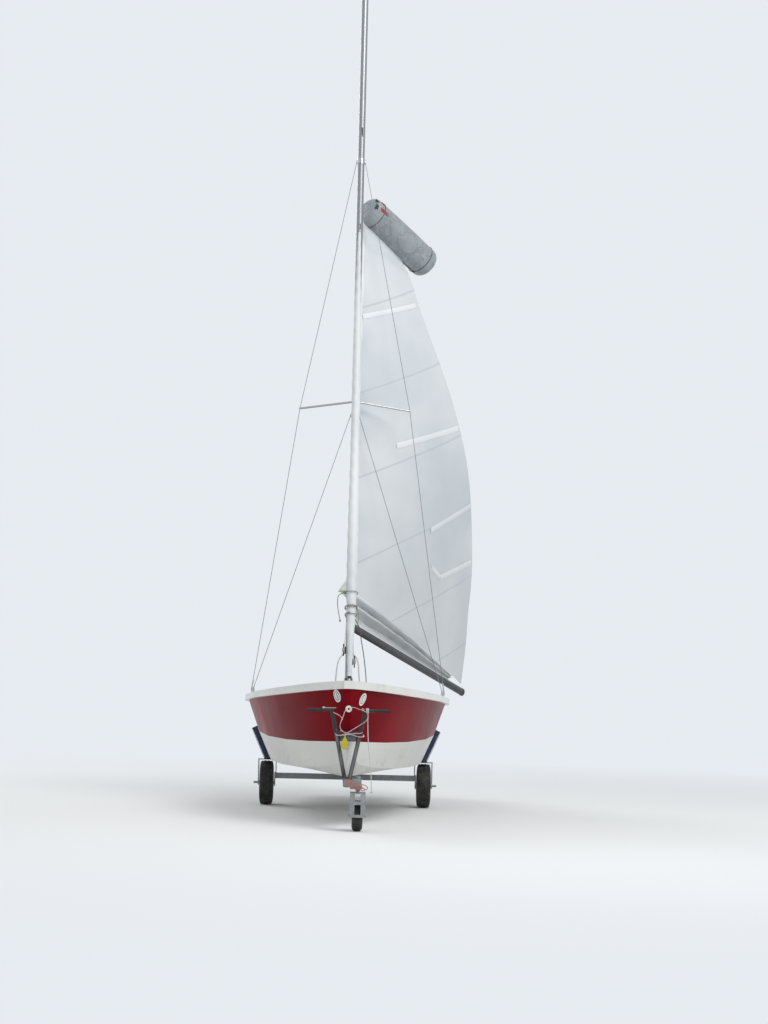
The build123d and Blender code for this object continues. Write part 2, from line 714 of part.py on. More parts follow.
# Launching trolley: drawbar, axle beam with stub axles, chocks and padded bilge supports.
transom = STATIONS[-1]
bar_back = spot(0, AXLE_AFT, BEAM_HEIGHT)
bar_front = spot(0, BAR_FRONT, BAR_FRONT_HEIGHT)
with BuildPart() as drawbar:
    add(square_bar(bar_back, bar_front, BEAM))
    with BuildSketch(across(AXLE_AFT - BEAM / 2)):
        with Locations((0, BEAM_HEIGHT)):
            Rectangle(2 * BEAM, 2 * BEAM)
    extrude(amount=-2 * BEAM, mode=Mode.SUBTRACT)
drawbar.part.label = "drawbar"
export_step(drawbar.part, "parts/drawbar.step")

with BuildPart() as axle_beam:
    with BuildSketch(beside(-BEAM_HALF)):
        with Locations((AXLE_AFT, BEAM_HEIGHT)):
            Rectangle(BEAM, BEAM)
    extrude(amount=2 * BEAM_HALF)
    for side in (1, -1):
        with BuildSketch(beside(side * BEAM_HALF)):
            with Locations((AXLE_AFT, (BEAM_HEIGHT + AXLE_HEIGHT) / 2)):
                Rectangle(BEAM + 10, BEAM_HEIGHT - AXLE_HEIGHT + BEAM + 10)
        extrude(amount=-side * STUB_PLATE)
        with BuildSketch(beside(side * (BEAM_HALF - STUB_PLATE))):
            with Locations((AXLE_AFT, AXLE_HEIGHT)):
                Circle(STUB_RADIUS)
        extrude(amount=side * (POST_IN + POST_THICK - BEAM_HALF + STUB_PLATE))
        with BuildSketch(beside(side * (POST_IN + POST_THICK))):
            with Locations((AXLE_AFT, AXLE_HEIGHT)):
                Circle(STUB_END_RADIUS)
        extrude(amount=side * STUB_END)
axle_beam.part.label = "axle_beam"
export_step(axle_beam.part, "parts/axle_beam.step")

with BuildPart() as keel_chocks:
    for aft in KEEL_CHOCKS:
        share = (aft - AXLE_AFT) / (BAR_FRONT - AXLE_AFT)
        carried = BEAM_HEIGHT + share * (BAR_FRONT_HEIGHT - BEAM_HEIGHT)
        keel = hull_at(aft)[1]
        with BuildSketch(across(aft + CHOCK_HALF)):
            with Locations((0, (carried + keel + BEAM / 2) / 2)):
                Rectangle(BEAM, keel + BEAM / 2 - carried)
        extrude(amount=2 * CHOCK_HALF)
    for piece in (hull, drawbar, axle_beam):
        add(piece.part, mode=Mode.SUBTRACT)
keel_chocks.part.label = "keel_chocks"
export_step(keel_chocks.part, "parts/keel_chocks.step")


def bilge_line(aft):
    """The lower chine and the upper chine at a distance aft, and the way out of the bilge."""
    row = hull_at(aft)
    low = Vector(row[2], row[3])
    run = (Vector(row[4], row[5]) - low).normalized()
    return low, run, Vector(run.Y, -run.X)


for side, name in ((1, "port"), (-1, "starboard")):
    with BuildPart() as bilge_pad:
        for aft in (AXLE_AFT - PAD_HALF, AXLE_AFT + PAD_HALF):
            low, run, out = bilge_line(aft)
            start = low + out * CLEAR
            face = [start + run * ((z - start.Y) / run.Y) for z in (PAD_BOTTOM, PAD_TOP)]
            back = [face[1] + out * PAD_THICK, face[0] + out * PAD_THICK]
            low_back = face[0] + (out + run * (-out.Y / run.Y)) * PAD_THICK
            with BuildSketch(across(aft)):
                with BuildLine():
                    Polyline(
                        *[(side * p.X, p.Y) for p in (face[0], face[1], back[0], low_back)],
                        close=True,
                    )
                make_face()
        loft(ruled=True)
    bilge_pad.part.label = f"bilge_pad_{name}"
    export_step(bilge_pad.part, f"parts/bilge_pad_{name}.step")

# On each side an arm passes over the wheel, from an upright on the beam to an outer post
# that carries the stub axle's far end.
with BuildPart() as bilge_supports:
    for side in (1, -1):
        beam_top = BEAM_HEIGHT + BEAM / 2
        upright = BEAM_HALF - STUB_PLATE
        post_out = POST_IN + POST_THICK
        with BuildSketch(beside(side * upright)):
            with Locations((AXLE_AFT, (beam_top + PAD_BOTTOM) / 2)):
                Rectangle(BEAM, PAD_BOTTOM - beam_top)
        extrude(amount=-side * PAD_ARM)
        with BuildSketch(level(PAD_BOTTOM - PAD_ARM)):
            with Locations((side * (upright - PAD_ARM + post_out) / 2, AXLE_AFT)):
                Rectangle(post_out - upright + PAD_ARM, BEAM)
        extrude(amount=PAD_ARM)
        with BuildSketch(beside(side * POST_IN)):
            with Locations((AXLE_AFT, (AXLE_HEIGHT + PAD_BOTTOM) / 2)):
                Rectangle(POST_DEEP, PAD_BOTTOM - AXLE_HEIGHT)
            with Locations((AXLE_AFT, AXLE_HEIGHT)):
                Circle(HUB_RADIUS - 4)
                Circle(STUB_RADIUS + CLEAR, mode=Mode.SUBTRACT)
        extrude(amount=side * POST_THICK)
bilge_supports.part.label = "bilge_supports"
export_step(bilge_supports.part, "parts/bilge_supports.step")

# The handle stands on the drawbar's front and holds the bow pad. Its two posts turn outward
# at the top into grips, and nothing joins them above the crossbar.
post_foot = spot(0, HANDLE_AFT, BAR_FRONT_HEIGHT + BEAM / 2)
with BuildPart() as handle_frame:
    for side in (1, -1):
        foot = post_foot + Vector(side * POST_RADIUS * 0.8, 0, -BEAM / 2)
        elbow = spot(side * POST_TOP_X, HANDLE_AFT, HANDLE_HEIGHT)
        add(rod(foot, elbow, POST_RADIUS))
        with Locations(elbow):
            Sphere(POST_RADIUS)
        add(rod(elbow, spot(side * HANDLE_HALF, HANDLE_AFT, HANDLE_HEIGHT), HANDLE_RADIUS))
    cross_x = POST_TOP_X * (CROSSBAR_HEIGHT - BAR_FRONT_HEIGHT) / (HANDLE_HEIGHT - BAR_FRONT_HEIGHT)
    cross_end = spot(cross_x, HANDLE_AFT, CROSSBAR_HEIGHT)
    add(rod(spot(-cross_x, HANDLE_AFT, CROSSBAR_HEIGHT), cross_end, POST_RADIUS))
    add(drawbar.part, mode=Mode.SUBTRACT)
    with BuildSketch(level(BAR_FRONT_HEIGHT - 2 * BEAM)):
        with Locations((0, HANDLE_AFT)):
            Rectangle(4 * BEAM, 4 * BEAM)
    extrude(amount=2 * BEAM, mode=Mode.SUBTRACT)
handle_frame.part.label = "handle_frame"
export_step(handle_frame.part, "parts/handle_frame.step")

with BuildPart() as bow_pad:
    with BuildSketch(level(BOW_PAD_LOW)):
        with Locations((0, (HANDLE_AFT + POST_RADIUS + BOW_PAD_BACK) / 2)):
            Rectangle(2 * BOW_PAD_HALF, BOW_PAD_BACK - HANDLE_AFT - POST_RADIUS)
    extrude(amount=BOW_PAD_TOP - BOW_PAD_LOW)
    add(hull.part, mode=Mode.SUBTRACT)
bow_pad.part.label = "bow_pad"
export_step(bow_pad.part, "parts/bow_pad.step")

with BuildPart() as bow_eye:
    with BuildSketch(across(0)):
        with Locations((0, EYE_HEIGHT)):
            Circle(RING_OUTER)
            Circle(RING_INNER, mode=Mode.SUBTRACT)
    extrude(amount=RING_THICK)
bow_eye.part.label = "bow_eye"
export_step(bow_eye.part, "parts/bow_eye.step")

# Main wheels: a tyre on a rim with a hub that turns on the stub axle.
wheel_section = (
    # offset from the wheel's middle plane, radius
    (-0.42, RIM_RADIUS),
    (-0.5, RIM_RADIUS + 34),
    (-0.46, TYRE_RADIUS - 22),
    (-0.32, TYRE_RADIUS - 3),
    (0, TYRE_RADIUS),
    (0.32, TYRE_RADIUS - 3),
    (0.46, TYRE_RADIUS - 22),
    (0.5, RIM_RADIUS + 34),
    (0.42, RIM_RADIUS),
)
for side, name in ((1, "port"), (-1, "starboard")):
    middle = spot(side * WHEEL_X, AXLE_AFT, AXLE_HEIGHT)
    spin = Axis(origin=middle, direction=(1, 0, 0))
    section = Plane(origin=middle, x_dir=(1, 0, 0), z_dir=(0, -1, 0))
    with BuildPart() as tyre:
        with BuildSketch(section):
            with BuildLine():
                Polyline(*[(x * TYRE_WIDE, r) for x, r in wheel_section], close=True)
            make_face()
        revolve(axis=spin)
    tyre.part.label = f"tyre_{name}"
    export_step(tyre.part, f"parts/tyre_{name}.step")
    with BuildPart() as rim:
        with BuildSketch(section):
            with BuildLine():
                Polyline(
                    (-HUB_HALF, STUB_RADIUS + FIT),
                    (-HUB_HALF, HUB_RADIUS),
                    (-10, HUB_RADIUS),
                    (-10, RIM_RADIUS - 14),
                    (-0.42 * TYRE_WIDE, RIM_RADIUS - 10),
                    (-0.42 * TYRE_WIDE, RIM_RADIUS - CLEAR),
                    (0.42 * TYRE_WIDE, RIM_RADIUS - CLEAR),
                    (0.42 * TYRE_WIDE, RIM_RADIUS - 10),
                    (10, RIM_RADIUS - 14),
                    (10, HUB_RADIUS),
                    (HUB_HALF, HUB_RADIUS),
                    (HUB_HALF, STUB_RADIUS + FIT),
                    close=True,
                )
            make_face()
        revolve(axis=spin)
    rim.part.label = f"rim_{name}"
    export_step(rim.part, f"parts/rim_{name}.step")

# Jockey wheel: a clamp on the drawbar, an upright tube, a swivelling fork and its wheel.
axle_aft = JOCKEY_AFT + JOCKEY_TRAIL
jockey_axle = spot(JOCKEY_X, axle_aft, JOCKEY_RADIUS)
clamp_low = FORK_TOP + 6
clamp_top = BAR_FRONT_HEIGHT + BEAM
with BuildPart() as jockey_clamp:
    with BuildSketch(level(BAR_FRONT_HEIGHT - BEAM)):
        with Locations(((BEAM / 2 + JOCKEY_X) / 2, JOCKEY_AFT)):
            Rectangle(JOCKEY_X - BEAM / 2, 60)
        with Locations((JOCKEY_X, JOCKEY_AFT)):
            Circle(STEM_RADIUS + 9)
    extrude(amount=1.6 * BEAM)
    with BuildSketch(level(clamp_low)):
        with Locations((JOCKEY_X, JOCKEY_AFT)):
            Circle(STEM_RADIUS)
    extrude(amount=clamp_top - clamp_low)
    add(drawbar.part, mode=Mode.SUBTRACT)
    with BuildSketch(level(clamp_low - 2)):
        with Locations((JOCKEY_X, JOCKEY_AFT)):
            Circle(PIN_RADIUS * 2 + FIT)
    extrude(amount=60, mode=Mode.SUBTRACT)
jockey_clamp.part.label = "jockey_clamp"
export_step(jockey_clamp.part, "parts/jockey_clamp.step")

with BuildPart() as jockey_fork:
    for side in (1, -1):
        inner = JOCKEY_X + side * FORK_HALF
        with BuildSketch(beside(inner)):
            with BuildLine():
                Polyline(
                    (axle_aft + 26, JOCKEY_RADIUS - 20),
                    (axle_aft + 26, JOCKEY_RADIUS + 40),
                    (JOCKEY_AFT + 50, FORK_TOP - FORK_WALL),
                    (axle_aft - FORK_FRONT, FORK_TOP - FORK_WALL),
                    (axle_aft - FORK_FRONT, FORK_LOW),
                    close=True,
                )
            make_face()
        extrude(amount=side * FORK_WALL)
    top_back = JOCKEY_AFT + 50
    with BuildSketch(level(FORK_TOP - FORK_WALL)):
        with Locations((JOCKEY_X, (top_back + axle_aft - FORK_FRONT) / 2)):
            Rectangle(2 * (FORK_HALF + FORK_WALL), top_back - axle_aft + FORK_FRONT)
    extrude(amount=FORK_WALL)
    with BuildSketch(across(axle_aft - FORK_FRONT)):
        with Locations((JOCKEY_X, (FORK_LOW + FORK_TOP) / 2)):
            Rectangle(2 * (FORK_HALF + FORK_WALL), FORK_TOP - FORK_LOW)
        for bottom, top, half in FORK_WINDOWS:
            with Locations((JOCKEY_X, (bottom + top) / 2)):
                Rectangle(2 * half, top - bottom, mode=Mode.SUBTRACT)
    extrude(amount=-FORK_WALL)
    with BuildSketch(level(FORK_TOP)):
        with Locations((JOCKEY_X, JOCKEY_AFT)):
            Circle(PIN_RADIUS * 2)
    extrude(amount=55)
    with BuildSketch(beside(JOCKEY_X - FORK_HALF - FORK_WALL - 8)):
        with Locations((axle_aft, JOCKEY_RADIUS)):
            Circle(JOCKEY_AXLE)
    extrude(amount=2 * (FORK_HALF + FORK_WALL + 8))
jockey_fork.part.label = "jockey_fork"
export_step(jockey_fork.part, "parts/jockey_fork.step")

jockey_spin = Axis(origin=jockey_axle, direction=(1, 0, 0))
jockey_plane = Plane(origin=jockey_axle, x_dir=(1, 0, 0), z_dir=(0, -1, 0))
jockey_rim_radius = JOCKEY_RADIUS * 0.52
with BuildPart() as jockey_tyre:
    with BuildSketch(jockey_plane):
        with BuildLine():
            Polyline(
                (-0.36 * JOCKEY_WIDE, jockey_rim_radius),
                (-0.5 * JOCKEY_WIDE, JOCKEY_RADIUS - 34),
                (-0.44 * JOCKEY_WIDE, JOCKEY_RADIUS - 10),
                (-0.26 * JOCKEY_WIDE, JOCKEY_RADIUS),
                (0.26 * JOCKEY_WIDE, JOCKEY_RADIUS),
                (0.44 * JOCKEY_WIDE, JOCKEY_RADIUS - 10),
                (0.5 * JOCKEY_WIDE, JOCKEY_RADIUS - 34),
                (0.36 * JOCKEY_WIDE, jockey_rim_radius),
                close=True,
            )
        make_face()
    revolve(axis=jockey_spin)
jockey_tyre.part.label = "jockey_tyre"
export_step(jockey_tyre.part, "parts/jockey_tyre.step")

with BuildPart() as jockey_rim:
    with BuildSketch(jockey_plane):
        with BuildLine():
            Polyline(
                (-0.5 * JOCKEY_WIDE, JOCKEY_AXLE + FIT),
                (-0.5 * JOCKEY_WIDE, 2 * JOCKEY_AXLE),
                (-8, 2 * JOCKEY_AXLE),
                (-8, jockey_rim_radius - 10),
                (-0.36 * JOCKEY_WIDE, jockey_rim_radius - 7),
                (-0.36 * JOCKEY_WIDE, jockey_rim_radius - CLEAR),
                (0.36 * JOCKEY_WIDE, jockey_rim_radius - CLEAR),
                (0.36 * JOCKEY_WIDE, jockey_rim_radius - 7),
                (8, jockey_rim_radius - 10),
                (8, 2 * JOCKEY_AXLE),
                (0.5 * JOCKEY_WIDE, 2 * JOCKEY_AXLE),
                (0.5 * JOCKEY_WIDE, JOCKEY_AXLE + FIT),
                close=True,
            )
        make_face()
    revolve(axis=jockey_spin)
jockey_rim.part.label = "jockey_rim"
export_step(jockey_rim.part, "parts/jockey_rim.step")

# Rudder: gudgeons on the transom, a stock with pins and tiller, and a lifting blade.
pin_back = transom[0] + RUDDER_AFT
with BuildPart() as gudgeons:
    for height in GUDGEONS:
        with BuildSketch(level(height)):
            with Locations((0, transom[0] + RUDDER_AFT / 2)):
                Rectangle(26, RUDDER_AFT)
            with Locations((0, pin_back)):
                Circle(13)
                Circle(PIN_RADIUS + FIT, mode=Mode.SUBTRACT)
        extrude(amount=GUDGEON_HIGH)
gudgeons.part.label = "gudgeons"
export_step(gudgeons.part, "parts/gudgeons.step")

with BuildPart() as rudder_stock:
    with BuildSketch(beside(-STOCK_HALF)):
        with BuildLine():
            Polyline(
                (pin_back + STOCK_BACK, PIVOT_HEIGHT - PIVOT_BACK),
                (pin_back + PIVOT_BACK + 70, PIVOT_HEIGHT - PIVOT_BACK),
                (pin_back + PIVOT_BACK + 70, PIVOT_HEIGHT + 100),
                (pin_back + STOCK_BACK + 70, TILLER_HEIGHT - 75),
                (pin_back + STOCK_BACK + 70, TILLER_HEIGHT + TILLER_THICK + 6),
                (pin_back + STOCK_BACK, TILLER_HEIGHT + TILLER_THICK + 6),
                close=True,
            )
        make_face()
    extrude(amount=2 * STOCK_HALF)
    with BuildSketch(beside(-BLADE_HALF - 1)):
        with Locations((pin_back + STOCK_BACK + 200, PIVOT_HEIGHT + 40)):
            Rectangle(400 - 36, 340)
    extrude(amount=2 * BLADE_HALF + 2, mode=Mode.SUBTRACT)
    with BuildSketch(beside(-STOCK_HALF - 6)):
        with Locations((pin_back + PIVOT_BACK, PIVOT_HEIGHT)):
            Circle(PIVOT_RADIUS)
    extrude(amount=2 * STOCK_HALF + 12)
    for height in GUDGEONS:
        with BuildSketch(level(height + GUDGEON_HIGH + 1)):
            with Locations((0, pin_back + 8)):
                Rectangle(16, 30)
            with Locations((0, pin_back)):
                Circle(8)
        extrude(amount=14)
        with BuildSketch(level(height - 12)):
            with Locations((0, pin_back)):
                Circle(PIN_RADIUS)
        extrude(amount=GUDGEON_HIGH + 14)
rudder_stock.part.label = "rudder_stock"
export_step(rudder_stock.part, "parts/rudder_stock.step")

with BuildPart() as tiller:
    with BuildSketch(level(TILLER_HEIGHT)):
        with BuildLine():
            Polyline(
                (-17, pin_back + STOCK_BACK),
                (17, pin_back + STOCK_BACK),
                (12, pin_back + STOCK_BACK - TILLER_LENGTH),
                (-12, pin_back + STOCK_BACK - TILLER_LENGTH),
                close=True,
            )
        make_face()
    extrude(amount=TILLER_THICK)
tiller.part.label = "tiller"
export_step(tiller.part, "parts/tiller.step")

blade_run = (cos(radians(BLADE_RAISED)), sin(radians(BLADE_RAISED)))
blade_plane = Plane(
    origin=spot(-BLADE_HALF, pin_back + PIVOT_BACK, PIVOT_HEIGHT),
    x_dir=(0, *blade_run),
    z_dir=(1, 0, 0),
)
with BuildPart() as rudder_blade:
    with BuildSketch(blade_plane):
        Circle(BLADE_ROOT)
        with BuildLine():
            Polyline(
                (0, -BLADE_ROOT),
                (BLADE_LENGTH * 0.28, -118),
                (BLADE_LENGTH * 0.92, -100),
                (BLADE_LENGTH, -40),
                (BLADE_LENGTH, 60),
                (BLADE_LENGTH * 0.28, 112),
                (0, BLADE_ROOT),
                close=True,
            )
        make_face()
        Circle(PIVOT_RADIUS + FIT, mode=Mode.SUBTRACT)
    extrude(amount=2 * BLADE_HALF)
rudder_blade.part.label = "rudder_blade"
export_step(rudder_blade.part, "parts/rudder_blade.step")

# Free cords hang from the handle and from the rolled jib's clew.
for (near, small), (far, large) in zip(JIB_ROLL, JIB_ROLL[1:]):
    if near <= JIB_TAIL_UP <= far:
        roll_radius = small + (JIB_TAIL_UP - near) / (far - near) * (large - small)
clew = stay_foot + stay_run * JIB_TAIL_UP - Vector(roll_radius + CLEAR, 0, 0)
painter_route = [spot(*row) for row in PAINTER]
jib_route = [clew + Vector(*row) for row in JIB_TAIL]
for name, points in (("painter", painter_route), ("jib_tail", jib_route)):
    print(name, "start", [round(v, 1) for v in points[0]])
    radii = []
    for before, at, after in zip(points, points[1:], points[2:]):
        half_turn = radians((at - before).get_angle(after - at) / 2)
        shorter = min((at - before).length, (after - at).length)
        radii.append(0.45 * shorter / tan(half_turn))
    print(name, "radii", [round(r) for r in radii])
    with BuildPart() as cord:
        with BuildLine() as path:
            FilletPolyline(*points, radius=radii)
        with BuildSketch(Plane(origin=path.line @ 0, z_dir=path.line % 0)):
            Circle(CORD_RADIUS)
        sweep()
    cord.part.label = name
    export_step(cord.part, f"parts/{name}.step")
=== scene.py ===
# %% [markdown]
# # A sailing dinghy on its launching trolley
# This lesson dresses a CAD model of a training dinghy: red topsides over a white bottom,
# a rolled jib on the forestay, a part-hoisted mainsail swung out to port and an air
# cushion at its head. The CAD solids stay where they are. Hard pieces get a finish, and
# soft ones are rebuilt as cloth in the same places.

import math

import bmesh
import bpy
from mathutils import Matrix, Vector, noise


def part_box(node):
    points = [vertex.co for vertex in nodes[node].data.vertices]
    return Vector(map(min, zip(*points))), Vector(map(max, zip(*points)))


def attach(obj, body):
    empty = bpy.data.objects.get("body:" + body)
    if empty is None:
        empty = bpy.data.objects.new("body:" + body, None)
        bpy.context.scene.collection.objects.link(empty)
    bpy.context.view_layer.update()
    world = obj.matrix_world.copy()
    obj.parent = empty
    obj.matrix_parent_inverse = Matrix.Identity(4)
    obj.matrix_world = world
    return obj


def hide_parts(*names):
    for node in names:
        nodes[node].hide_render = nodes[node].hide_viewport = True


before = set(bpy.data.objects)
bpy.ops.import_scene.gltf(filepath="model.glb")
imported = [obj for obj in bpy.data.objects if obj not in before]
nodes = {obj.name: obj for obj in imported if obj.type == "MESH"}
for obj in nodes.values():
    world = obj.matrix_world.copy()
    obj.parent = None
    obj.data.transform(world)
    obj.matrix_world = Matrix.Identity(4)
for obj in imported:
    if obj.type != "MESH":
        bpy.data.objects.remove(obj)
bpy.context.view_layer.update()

# %% [markdown]
# ## Boat measures
# The boat is measured as a builder would: across from the centre plane, aft from the
# stem head and up from the ground. One function turns those into the frame's metres, so
# that every piece below is placed in the boat's own terms. The boat and the trolley's
# frame are one body of the CAD model, and most pieces belong to it.

# %% Boat measures
CENTRE_X = -0.127
STEM_Y = -2.792
PORT, AFT, UP = Vector((1, 0, 0)), Vector((0, 1, 0)), Vector((0, 0, 1))
BOAT = "boat_on_trolley"


def spot(across, aft, height):
    """A point of the boat, in the frame, in metres."""
    return Vector((across + CENTRE_X, aft + STEM_Y, height))


print("stem head at", spot(0, 0, 1.16))

# %% [markdown]
# ## The camera
# The boat is seen from dead ahead, from about eye height and seventeen metres off, with
# a long lens that looks up a little. A long lens keeps the bow from looming over the
# stern. The camera is aimed with a direction and then rolled, and a matrix does both in
# one step, with no constraint that another view would have to undo.

# %% The camera
EYE = spot(-0.0996, -17.544, 1.308)
LOOK_UP = math.radians(3.896)
LOOK_ASIDE = math.radians(1.108)
ROLL = math.radians(1.363)
LENS_PIXELS = 2230
PICTURE_HEIGHT = 1024

camera = bpy.data.objects.new("camera", bpy.data.cameras.new("camera"))
bpy.context.scene.collection.objects.link(camera)
camera.data.sensor_width = 36
camera.data.lens = 36 * LENS_PIXELS / PICTURE_HEIGHT
camera.data.clip_end = 200
turn = (
    Matrix.Rotation(-LOOK_ASIDE, 4, "Z")
    @ Matrix.Rotation(math.pi / 2 + LOOK_UP, 4, "X")
    @ Matrix.Rotation(ROLL, 4, "Z")
)
camera.matrix_world = Matrix.Translation(EYE) @ turn
bpy.context.scene.camera = camera
print("camera at", EYE, "lens", round(camera.data.lens, 1), "mm")

# %% [markdown]
# ## Writing finishes as Python
# A finish is a small graph of shader nodes. Written node by node it is long and hard to
# read, so one class wraps a socket and lets sums be written with + and *, and another
# adds any other node in one call. Numbers that the object shares all over go straight
# into the shader's own sockets.

# %% A class for shader sums


class Shade:
    """One socket of a finish. Sums on it add Math nodes."""

    def __init__(self, finish, socket):
        self.finish = finish
        self.socket = socket

    def sum(self, operation, first, second=0.0):
        return self.finish.node("Math", {"operation": operation}, {0: first, 1: second})

    def __add__(self, other):
        return self.sum("ADD", self, other)

    __radd__ = __add__

    def __sub__(self, other):
        return self.sum("SUBTRACT", self, other)

    def __rsub__(self, other):
        return self.sum("SUBTRACT", other, self)

    def __mul__(self, other):
        return self.sum("MULTIPLY", self, other)

    __rmul__ = __mul__

    def __truediv__(self, other):
        return self.sum("DIVIDE", self, other)

    def __gt__(self, other):
        return self.sum("GREATER_THAN", self, other)

    def __lt__(self, other):
        return self.sum("LESS_THAN", self, other)

    def __abs__(self):
        return self.finish.node("Math", {"operation": "ABSOLUTE"}, {0: self})

    def part(self, name):
        """One of x, y and z of a vector."""
        return self.finish.node("SeparateXYZ", {}, {0: self}, "XYZ".index(name.upper()))


# %% A class for finishes
def paint(code):
    """A colour written as six hexadecimal digits, as the linear numbers a shader takes."""
    parts = [int(code[i : i + 2], 16) / 255 for i in (0, 2, 4)]
    return (*[c / 12.92 if c < 0.04045 else ((c + 0.055) / 1.055) ** 2.4 for c in parts], 1)


class Finish:
    """A material in the making."""

    def __init__(self, name, **look):
        self.material = bpy.data.materials.new(name)
        self.material.use_nodes = True
        self.tree = self.material.node_tree
        self.shader = self.tree.nodes["Principled BSDF"]
        for socket, value in look.items():
            self.feed(self.shader.inputs[socket.replace("_", " ")], value)
        self.place = self.node("TexCoord", {}, {}, "Object")
        self.across, self.along, self.up = [self.place.part(axis) for axis in "xyz"]

    def feed(self, socket, value):
        if isinstance(value, Shade):
            self.tree.links.new(value.socket, socket)
        else:
            socket.default_value = value

    def node(self, kind, settings=None, inputs=None, output=0):
        """Add a node: its settings first, then its sockets' values or links."""
        made = self.tree.nodes.new("ShaderNode" + kind)
        for name, value in (settings or {}).items():
            if name == "stops":
                while len(made.color_ramp.elements) < len(value):
                    made.color_ramp.elements.new(0.5)
                for stop, (position, colour) in zip(made.color_ramp.elements, value):
                    stop.position = position
                    stop.color = colour
            else:
                setattr(made, name, value)
        for name, value in (inputs or {}).items():
            self.feed(made.inputs[name], value)
        return Shade(self, made.outputs[output])

    def noise(self, scale, detail=3.0, rough=0.5, at=None):
        sockets = {"Vector": at or self.place, "Scale": scale, "Detail": detail, "Roughness": rough}
        return self.node("TexNoise", {}, sockets)

    def stretch(self, x, y, z, at=None):
        """The place with each axis scaled, so that a pattern is drawn out along one."""
        settings = {"operation": "MULTIPLY"}
        return self.node("VectorMath", settings, {0: at or self.place, 1: (x, y, z)})

    def ramp(self, value, low, high):
        """0 below low, 1 above high and smooth between."""
        sockets = {"Value": value, "From Min": low, "From Max": high}
        return self.node("MapRange", {"interpolation_type": "SMOOTHSTEP"}, sockets)

    def mix(self, share, first, second):
        """A colour between two, by a share from 0 to 1."""
        return self.node("Mix", {"data_type": "RGBA"}, {0: share, 6: first, 7: second}, 2)

    def wear(self, colour=None, rough=None, height=None, deep=0.001, metal=None):
        """Give the shader what varies over the surface."""
        for name, value in (("Base Color", colour), ("Roughness", rough), ("Metallic", metal)):
            if value is not None:
                self.feed(self.shader.inputs[name], value)
        if height is not None:
            bump = self.node("Bump", {}, {"Distance": deep, "Height": height, "Strength": 1.0})
            self.feed(self.shader.inputs["Normal"], bump)
        return self.material


print("the classes are ready")

# %% [markdown]
# ## Gelcoat
# The hull is moulded in two colours that meet on the upper chine. The chine dips a little
# behind the bow, so a colour ramp along the boat holds its height at each station, and
# comparing a point's height with the ramp draws the line exactly. Old gelcoat chalks, so
# the gloss is uneven, and launching leaves scuffs near the waterline.

# %% Gelcoat
STATIONS = (
    # aft, keel, lower_x, lower_z, upper_x, upper_z, edge_x, edge_z
    (0.000, 0.610, 0.008, 0.640, 0.011, 0.697, 0.016, 1.160),
    (0.060, 0.515, 0.028, 0.562, 0.057, 0.694, 0.095, 1.153),
    (0.200, 0.440, 0.092, 0.508, 0.152, 0.686, 0.228, 1.139),
    (0.450, 0.391, 0.228, 0.474, 0.312, 0.677, 0.392, 1.115),
    (0.900, 0.373, 0.395, 0.452, 0.502, 0.671, 0.600, 1.079),
    (1.500, 0.362, 0.545, 0.440, 0.668, 0.676, 0.775, 1.041),
    (2.200, 0.356, 0.655, 0.438, 0.768, 0.690, 0.875, 1.004),
    (2.900, 0.356, 0.690, 0.441, 0.806, 0.702, 0.905, 0.976),
    (3.600, 0.364, 0.685, 0.450, 0.796, 0.704, 0.892, 0.954),
    (4.250, 0.380, 0.640, 0.466, 0.748, 0.705, 0.838, 0.937),
    (4.830, 0.402, 0.575, 0.486, 0.682, 0.706, 0.765, 0.925),
)
HULL_LENGTH = STATIONS[-1][0]
COCKPIT_FRONT, COCKPIT_BACK, COCKPIT_HALF = 1.948, 4.082, 0.542
COCKPIT_FLOOR = 0.51


def chine_stops():
    """The upper chine's height as the stops of a ramp along the boat."""
    return [(row[0] / HULL_LENGTH, (row[5], row[5], row[5], 1)) for row in STATIONS]


def gelcoat(name, colour, scuff=0.35):
    """One colour of gelcoat, chalked in clouds and streaked downward."""
    finish = Finish(name, Coat_Weight=0.25, Coat_Roughness=0.12)
    chalk = finish.noise(3.0, 6.0, 0.6)
    grain = finish.noise(90.0, 2.0)
    streak = finish.noise(6.0, 4.0, at=finish.stretch(1.0, 1.0, 0.12))
    shade = finish.mix(finish.ramp(chalk, 0.35, 0.75) * scuff, colour, paint("b9b6ae"))
    shade = finish.mix(finish.ramp(streak, 0.56, 0.8) * 0.25, shade, paint("8d8a80"))
    rough = 0.22 + 0.25 * chalk
    return finish.wear(shade, rough, grain * 0.2 + chalk, 0.0006)


